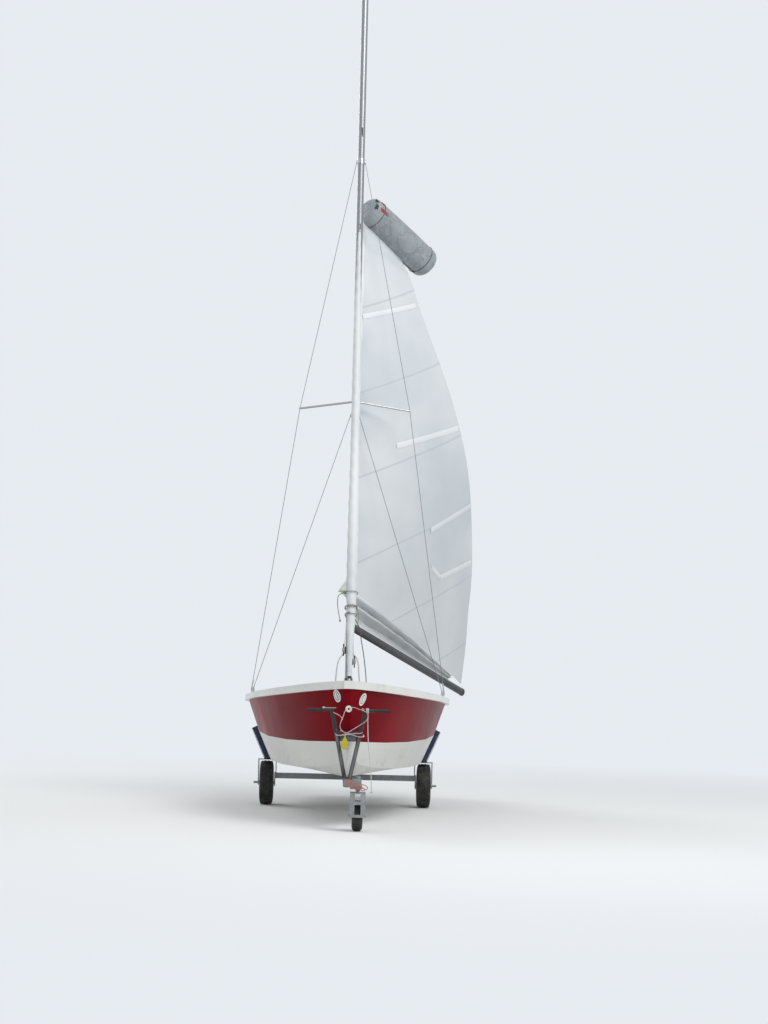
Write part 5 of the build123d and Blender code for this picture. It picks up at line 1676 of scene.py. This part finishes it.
# %% Leads and toe straps
LEAD_OUT, LEAD_AFT = 0.665, 2.45
STRAP_OUT, STRAP_SAG = 0.30, 0.035
for side in (1, -1):
    foot = spot(side * LEAD_OUT, LEAD_AFT, deck_height(LEAD_OUT, LEAD_AFT))
    metal.append(bar_about(foot + UP * 0.004, AFT * 0.055, 0.022, 0.006))
    plastic.append(bar_about(foot + UP * 0.017, AFT * 0.018, 0.030, 0.022))
    metal.append(ring_of(foot + Vector((0, -0.034, 0.019)), AFT, 0.0095, 0.0022, 20))
    front, back = spot(side * STRAP_OUT, 2.02, 0.690), spot(side * STRAP_OUT, 4.02, 0.720)
    sag = front.lerp(back, 0.5) - UP * STRAP_SAG
    halfway = [end.lerp(sag, 0.5) - UP * 0.009 for end in (front, back)]
    line = [front, halfway[0], sag, halfway[1], back]
    webbing += [bar(a, b, 0.045, 0.004) for a, b in zip(line, line[1:])]
    for end, way in ((front, -1), (back, 1)):
        metal.append(bar_about(end + AFT * (way * 0.006), PORT * 0.032, 0.014, 0.014))
place_piece("deck_metalwork", joined(metal), STAINLESS)
place_piece("cleats_and_slots", crisp(joined(plastic)), BLACK_PLASTIC)
place_piece("toe_straps", joined(webbing), WEBBING.material)
print("fittings:", len(metal), "of metal,", len(plastic), "of plastic")

# %% [markdown]
# ## The tiller's extension
# A light stick hinged near the tiller's front end, so that the helm can steer while
# leaning out. It belongs to the rudder's body and turns with it.

# %% The tiller's extension
lowest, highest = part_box("tiller")
knuckle = Vector(((lowest.x + highest.x) / 2, lowest.y + 0.028, highest.z))
stick_end = knuckle + Vector((0.012, 0.560, 0.020))
stick = bar(knuckle + UP * 0.020, stick_end, 0.016, 0.012)
hinge = plug(0.009, 0.022, 16, 0.8)
hinge.transform(Matrix.Translation(knuckle))
grip = bar(stick_end - Vector((0.002, 0.10, 0.003)), stick_end + AFT * 0.004, 0.020, 0.016)
place_piece("tiller_extension", crisp(joined([stick])), varnish("extension_varnish", "y"), "rudder")
place_piece("extension_grip", crisp(joined([hinge, grip])), BLACK_PLASTIC, "rudder")
print("the extension ends at", stick_end)

# %% [markdown]
# ## Ropes by the mast
# A white line loops behind the foot of the mast from one side deck to the other, and a
# dark tail runs from the mast to the deck. The main halyard runs up the mast above the
# sail, on the line that the sail turns about, so it belongs to the boom's body.

# %% Ropes by the mast
HOOP = (
    (-0.112, 1.600, 1.048), (-0.110, 1.600, 1.154), (-0.104, 1.600, 1.235), (-0.098, 1.604, 1.290),
    (-0.086, 1.612, 1.336), (-0.066, 1.630, 1.368), (-0.040, 1.660, 1.392), (0.000, 1.686, 1.400),
    (0.030, 1.670, 1.388), (0.054, 1.640, 1.368), (0.074, 1.612, 1.336), (0.084, 1.602, 1.292),
    (0.086, 1.600, 1.235), (0.096, 1.600, 1.154), (0.100, 1.600, 1.048),
)
TAIL = (
    (0.034, 1.600, 1.700), (0.060, 1.585, 1.660), (0.094, 1.580, 1.585), (0.100, 1.585, 1.508), (0.112, 1.590, 1.454),
    (0.126, 1.595, 1.378), (0.138, 1.600, 1.291), (0.151, 1.600, 1.196), (0.158, 1.600, 1.052),
)
place_piece("mast_hoop", closed_tube(placed(HOOP), 0.0058, 10), WHITE_ROPE)
tails = [rope_mesh(placed(TAIL), 0.0045), knot_mesh(spot(*TAIL[0]), PORT, 0.009, 0.004)]
turns = [math.pi * n / 12 for n in range(25)]
collar = [on_mast(TAIL[0][2], 0.034 * math.cos(a), 0.041 * math.sin(a)) for a in turns]
tails.append(closed_tube(collar, 0.0042, 8))
place_piece("mast_tail", joined(tails), GREY_ROPE)
hoist = [off_luff(5.245 + 2.21 * n / 12, 0, 0.0, 0, 0) for n in range(13)]
place_piece("main_halyard", closed_tube(hoist, 0.0030, 6), GREY_ROPE, "boom")
print("a hoop, a tail and the halyard")

# %% [markdown]
# ## The jib's clew
# The furled jib has the turns of its sheet round it. The clew, the sail's after corner,
# stands out to starboard with its patch and eye, and the sheet loops from it.

# %% The jib's clew


def roll_radius(up):
    """The rolled jib's radius at a distance up the stay."""
    for (low, a), (high, b) in zip(JIB_ROLL, JIB_ROLL[1:]):
        if up <= high:
            return a + (b - a) * (up - low) / (high - low)
    return JIB_ROLL[-1][1]


def up_stay(height):
    """How far up the stay a height is."""
    return (height - stay_foot.z) / stay_run.z


SHEET_RADIUS = 0.0034
SHEET_TURNS = (
    # height, turns
    (1.750, 2.2),
    (1.690, 1.6),
    (1.865, 1.3),
)
dark = []
for height, count in SHEET_TURNS:
    up = up_stay(height)
    path = wound(stay_foot + stay_run * up, stay_run, roll_radius(up) + 0.006, 0.003, count, 0.010)
    dark.append(rope_mesh(path, SHEET_RADIUS))
place_piece("jib_sheet_turns", joined(dark), BROWN_ROPE)

CLEW_HEIGHT = 1.900
clew_at = stay_foot + stay_run * up_stay(CLEW_HEIGHT)
clew_roll = roll_radius(up_stay(CLEW_HEIGHT))
clew = clew_at + Vector((-clew_roll - 0.052, -0.004, -0.012))
to_knot = [
    clew, clew + Vector((-0.010, -0.010, -0.020)), JIB_TAIL_START + Vector((-0.022, -0.004, 0.022)), JIB_TAIL_START
]
round_roll = [JIB_TAIL_START, JIB_TAIL_START + Vector((0.02, -0.052, -0.05))]
for from_clew in ((0.010, -0.064, -0.115), (0.056, -0.036, -0.170), (0.066, 0.010, -0.235), (0.052, 0.016, -0.300)):
    round_roll.append(clew_at + Vector(from_clew))
loops = [
    rope_mesh(route_points(to_knot), SHEET_RADIUS),
    knot_mesh(JIB_TAIL_START + Vector((-0.006, -0.006, 0.006)), AFT, 0.012, 0.0036),
    rope_mesh(route_points(round_roll), SHEET_RADIUS),
]
place_piece("jib_sheet_loops", joined(loops), YELLOW_ROPE)
place_piece("clew_eye", ring_of(clew + PORT * 0.010, AFT, 0.0065, 0.0022, 20), STAINLESS)

PATCH_ROWS = 14
root = clew_at + Vector((-clew_roll * 0.86, -0.006, 0.004))
rows, flat = [], []
for i in range(PATCH_ROWS + 1):
    share = i / PATCH_ROWS
    half = 0.075 * (1 - share) + 0.007 * share
    middle = root.lerp(clew, share)
    highs = [k / 4 - 1 for k in range(9)]
    curls = [0.010 * math.sin(3 * v + share * 2) * (1 - share) - 0.002 for v in highs]
    rows.append([middle + Vector((0, curl, v * half)) for v, curl in zip(highs, curls)])
    flat.append([(share * 0.07, v * half) for v in highs])
place_piece("clew_patch", grid_mesh(rows, flat), JIB_CLOTH)
print("the clew stands at", clew)

# %% [markdown]
# ## Padded pieces
# The air cushion and the trolley's bilge pads are covers blown up or stuffed tight. A
# solid of the right outline is remeshed into small even quads and then filled with
# pressure by Blender's Cloth for a few frames, which draws the wrinkles that an even
# inflation makes. How far a point may move is capped, so the pad keeps its place.

# %% Padded pieces


FILL_FRAMES = 20


def final_mesh(thing):
    """What an object's modifiers make of it, as a mesh of its own."""
    return bpy.data.meshes.new_from_object(thing.evaluated_get(bpy.context.evaluated_depsgraph_get()))


def blown_up(name, mesh, voxel, pressure, cap):
    """Remesh a closed mesh, fill it with pressure as cloth, and cap each point's move."""
    pad = bpy.data.objects.new(name, mesh)
    bpy.context.scene.collection.objects.link(pad)
    remesh = pad.modifiers.new("even_quads", "REMESH")
    remesh.mode = "VOXEL"
    remesh.voxel_size = voxel
    remesh.use_smooth_shade = True
    shape = final_mesh(pad)
    pad.modifiers.clear()
    pad.data = shape
    start = [vertex.co.copy() for vertex in shape.vertices]
    cloth = pad.modifiers.new("filled", "CLOTH")
    cloth.settings.quality = 4
    cloth.settings.mass = 0.3
    cloth.settings.use_pressure = True
    cloth.settings.uniform_pressure_force = pressure
    cloth.settings.effector_weights.gravity = 0
    cloth.settings.tension_stiffness = 40
    cloth.settings.shrink_min = -0.06
    cloth.settings.bending_stiffness = 0.3
    cloth.point_cache.frame_start = 1
    cloth.point_cache.frame_end = FILL_FRAMES
    for step in range(1, FILL_FRAMES + 1):
        bpy.context.scene.frame_set(step)
    shape = final_mesh(pad)
    for vertex, before in zip(shape.vertices, start):
        move = vertex.co - before
        if move.length > cap:
            vertex.co = before + move.normalized() * cap
    pad.modifiers.clear()
    pad.data = shape
    bpy.context.scene.frame_set(1)
    return pad


def pad_cover(name, node, finish, body, shrink, voxel, pressure, cap):
    """A filled cover in place of a padded CAD node."""
    pad = blown_up(name, copied_mesh(node, f"{node}_copy", shrink), voxel, pressure, cap)
    pad.data.materials.clear()
    pad.data.materials.append(finish)
    for face in pad.data.polygons:
        face.use_smooth = True
    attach(pad, body)
    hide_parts(node)
    print(name, "has", len(pad.data.polygons), "faces")

# %% [markdown]
# ## The air cushion at the masthead
# It keeps the mast afloat if the boat tips over: a fat cylinder of coated grey cloth,
# laced along the sail's head. It is blown up from a slightly smaller cylinder. Its cover
# is creased, and the fine creases are a bump in its finish, darkened with painted shade.

# %% The air cushion


def coated_cloth():
    finish = Finish("float_cover", Sheen_Weight=0.2)
    fine = finish.noise(420.0, 2.0)
    crumple = finish.noise(9.0, 4.0, 0.5)
    shaded_fold = finish.noise(4.5, 4.0, 0.55, finish.stretch(1.6, 1.6, 0.7))
    shaded_crease = 1 - finish.ramp(abs(finish.noise(7.0, 3.0, 0.5) - 0.5), 0.0, 0.06)
    shade = finish.mix(finish.ramp(crumple, 0.3, 0.75), paint("8b9296"), paint("989fa3"))
    # the darker patches on the folds and the darker lines on the creases are painted shade
    shade = finish.mix(finish.ramp(shaded_fold, 0.5, 0.75) * 0.4, shade, paint("737a7f"))
    shade = finish.mix(shaded_crease * 0.25, shade, paint("62686c"))
    return finish.wear(shade, 0.5 + 0.15 * crumple, crumple + fine * 0.05 + shaded_fold - shaded_crease * 0.3, 0.013)


pad_cover("head_float_cover", "head_float", coated_cloth(), "boom", 0.005, 0.012, 6.0, 0.012)

# %% [markdown]
# ## The cushion's straps
# Two red webbing straps with buckles hold the cushion's upper end, a seam runs round it
# near each end, and a cord laces its underside to the sail. All are placed from the
# cushion's own axis, and from the way its front faces.

# %% The cushion's straps
FLOAT_TILT, FLOAT_TURN = math.radians(27.5), math.radians(48)
SEAM_REACH, SEAM_RADIUS = 0.330, 0.1395
float_low, float_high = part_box("head_float")
float_middle = (float_low + float_high) / 2
float_axis = Vector((
    math.cos(FLOAT_TILT) * math.sin(FLOAT_TURN), math.cos(FLOAT_TILT) * math.cos(FLOAT_TURN), -math.sin(FLOAT_TILT)
))
float_face = (float_axis * float_axis.y - AFT).normalized()
float_up = float_face.cross(float_axis)
lacing, straps = [], []
for reach in (-SEAM_REACH, SEAM_REACH):
    lacing.append(ring_of(float_middle + float_axis * reach, float_axis, SEAM_RADIUS, 0.0028, 56))
for turn, far, wide in ((30, -0.285, 0.030), (66, -0.325, 0.026)):
    out = float_face * math.cos(math.radians(turn)) + float_up * math.sin(math.radians(turn))
    bends = ((-0.410, 0.1215), (-0.368, 0.1395), (far, 0.1405))
    places = [float_middle + float_axis * reach + out * size for reach, size in bends]
    straps += [bar(a, b, wide, 0.005, out) for a, b in zip(places, places[1:])]
    lacing.append(bar(places[0] - float_axis * 0.022, places[0] + float_axis * 0.014, wide * 1.6, 0.014, out))
below = (float_face * 0.30 - float_up).normalized()
edge = []
for n in range(61):
    out = below * (0.1415 + 0.004 * math.sin(n * 1.9))
    edge.append(float_middle + float_axis * (-0.36 + 0.70 * n / 60) + out)
lacing.append(rope_mesh(edge, 0.004))
place_piece("float_straps", joined(straps), CRIMSON_ROPE, "boom")
place_piece("float_lacing", joined(lacing), WEBBING.material, "boom")
print(len(straps), "pieces of strap")

# %% [markdown]
# ## Bilge pads
# Each pad is a board in a navy cover with a white welt round its edge, and it bears on
# the hull's side. It is filled the same way as the air cushion, more gently.

# %% Bilge pads


def navy_cover():
    finish = Finish("navy_cover", Sheen_Weight=0.3)
    weave = finish.node("TexWave", {"bands_direction": "Z"}, {"Vector": finish.place, "Scale": 260.0})
    faded = finish.noise(6.0, 6.0, 0.6)
    salt = finish.ramp(finish.noise(19.0, 7.0, 0.7), 0.56, 0.76)
    shade = finish.mix(faded, paint("16223f"), paint("2b3a63"))
    shade = finish.mix(salt * 0.4, shade, paint("8f96a0"))
    return finish.wear(shade, 0.7 + 0.2 * salt, weave * 0.2 + faded, 0.0012)


NAVY = navy_cover()
WHITE_WELT = moulded("white_welt", paint("d9dad6"))
WELT_RADIUS, CORNER_CUT = 0.0045, 0.012


def slab_frame(points):
    """The middle of a slab that leans but keeps level along the boat, its way up and its way out."""
    top = max(points, key=lambda point: point.z)
    foot = min(points, key=lambda point: point.z)
    rise = Vector((top.x - foot.x, 0, top.z - foot.z)).normalized()
    middle = sum(points, Vector()) / len(points)
    for step in (0.1, 0.05, 0.025, 0.012, 0.006, 0.003):
        # turn the frame until its box is the tightest
        boxes = []
        for turn in (-step, 0.0, step):
            a = Matrix.Rotation(turn, 3, "Y") @ rise
            b = Vector((a.z, 0, -a.x))
            spread = [(point - middle).dot(b) for point in points]
            boxes.append((max(spread) - min(spread), a, b))
        _, rise, out = min(boxes, key=lambda box: box[0])
    return middle, rise, out


def toward(start, end, step):
    """A number moved a step toward another, but not past it."""
    return start + math.copysign(min(step, abs(end - start)), end - start) if end != start else start


def pad_welts(points):
    """Two welts, one round each face of a slab, with their corners cut short."""
    middle, rise, out = slab_frame(points)
    outs = [(point - middle).dot(out) for point in points]
    loops = []
    for face, inward in ((min(outs), 0.004), (max(outs), -0.004)):
        rim = [point - middle for point, spread in zip(points, outs) if abs(spread - face) < 0.006]
        highs = [point.dot(rise) for point in rim]
        ends = [point.y for point in rim]
        # the lower line keeps well inside, because the tyre turns right below it
        low, high, fore, aft = min(highs) + 0.008, max(highs) - 0.002, min(ends) + 0.002, max(ends) - 0.002
        corners = ((low, fore), (high, fore), (high, aft), (low, aft))
        line = []
        for i, corner in enumerate(corners):
            for near in (corners[i - 1], corners[(i + 1) % 4]):
                up, along = [toward(c, n, CORNER_CUT) for c, n in zip(corner, near)]
                line.append(middle + rise * up + Vector((0, along, 0)) + out * (face + inward))
        loops.append(closed_tube([*line, line[0]], WELT_RADIUS, 8))
    return loops


for side in ("port", "starboard"):
    node = f"bilge_pad_{side}"
    pad_cover(f"bilge_pad_cover_{side}", node, NAVY, BOAT, 0.004, 0.006, 4.0, 0.006)
    slab = copied_mesh(node, "welt_copy")
    welts = pad_welts([vertex.co.copy() for vertex in slab.vertices])
    place_piece(f"pad_welts_{side}", joined(welts), WHITE_WELT)

# %% [markdown]
# ## Floor and light
# The boat stands on a plain pale floor under soft light like an overcast sky: an even
# world, one broad lamp high ahead to port and a weaker one behind. A few metres off,
# the floor turns into the sky's own colour, so no horizon crosses the picture. It glows
# only for the camera and for reflections, so it adds no light of its own, and near the
# boat it stays a plain surface that takes the shadow.

# %% Floor and light
SKY = (0.86, 0.90, 0.95, 1)
# how bright the sky lights the boat, and how bright it looks
SKY_LIGHT, SKY_SHOWN = 0.62, 0.93
FLOOR_REACH = 60.0


def floor_finish(colour, near, far):
    """A pale floor that turns into the sky's colour far off, for the eye and for gloss."""
    finish = Finish("floor_pale", Roughness=0.9)
    finish.feed(finish.shader.inputs["Base Color"], colour)
    away = finish.node("VectorMath", {"operation": "LENGTH"}, {0: finish.place}, "Value")
    path = finish.tree.nodes.new("ShaderNodeLightPath")
    seen = Shade(finish, path.outputs["Is Camera Ray"]) + Shade(finish, path.outputs["Is Glossy Ray"])
    glow = finish.tree.nodes.new("ShaderNodeEmission")
    glow.inputs["Color"].default_value = SKY
    glow.inputs["Strength"].default_value = SKY_SHOWN
    either = finish.tree.nodes.new("ShaderNodeMixShader")
    finish.feed(either.inputs[0], finish.ramp(away, near, far) * seen)
    finish.tree.links.new(finish.shader.outputs[0], either.inputs[1])
    finish.tree.links.new(glow.outputs[0], either.inputs[2])
    finish.tree.links.new(either.outputs[0], finish.tree.nodes["Material Output"].inputs["Surface"])
    return finish.material


floor_mesh = bpy.data.meshes.new("floor")
corners = [(x * FLOOR_REACH, y * FLOOR_REACH, 0) for x, y in ((-1, -1), (1, -1), (1, 1), (-1, 1))]
floor_mesh.from_pydata(corners, [], [(0, 1, 2, 3)])
floor_mesh.materials.append(floor_finish(paint("eeeeec"), 3.0, 11.0))
floor = bpy.data.objects.new("floor", floor_mesh)
bpy.context.scene.collection.objects.link(floor)
print("floor of", 2 * FLOOR_REACH, "m")

# %% [markdown]
# ## Sky and lamps
# The world has two strengths: one that lights the boat, and a brighter one that the
# camera and gloss see. A light-path node picks between them for each ray.

# %% Sky and lamps
world = bpy.data.worlds.new("overcast")
world.use_nodes = True
bpy.context.scene.world = world
tree = world.node_tree
sky = tree.nodes["Background"]
sky.inputs["Color"].default_value = SKY
sky.inputs["Strength"].default_value = SKY_LIGHT
path = tree.nodes.new("ShaderNodeLightPath")
shown = tree.nodes.new("ShaderNodeMix")
shown.data_type = "FLOAT"
either = tree.nodes.new("ShaderNodeMath")
either.operation = "MAXIMUM"
tree.links.new(path.outputs["Is Camera Ray"], either.inputs[0])
tree.links.new(path.outputs["Is Glossy Ray"], either.inputs[1])
tree.links.new(either.outputs[0], shown.inputs[0])
shown.inputs[2].default_value = SKY_LIGHT
shown.inputs[3].default_value = SKY_SHOWN
tree.links.new(shown.outputs[0], sky.inputs["Strength"])


LAMP_WIDE, LAMP_AIM = 7.0, Vector((0, 0, 2.5))


def lamp(name, place, power):
    """A broad round lamp that is aimed at the boat's middle."""
    light = bpy.data.lights.new(name, "AREA")
    light.shape = "DISK"
    light.size = LAMP_WIDE
    light.energy = power
    holder = bpy.data.objects.new(name, light)
    bpy.context.scene.collection.objects.link(holder)
    aim = (LAMP_AIM - Vector(place)).to_track_quat("-Z", "Y")
    holder.matrix_world = Matrix.Translation(place) @ aim.to_matrix().to_4x4()


lamp("sky_ahead", (5.0, -9.0, 11.0), 900)
lamp("sky_behind", (-7.0, 8.0, 9.0), 420)
bpy.context.scene.view_settings.view_transform = "Standard"
print("a sky and two lamps")
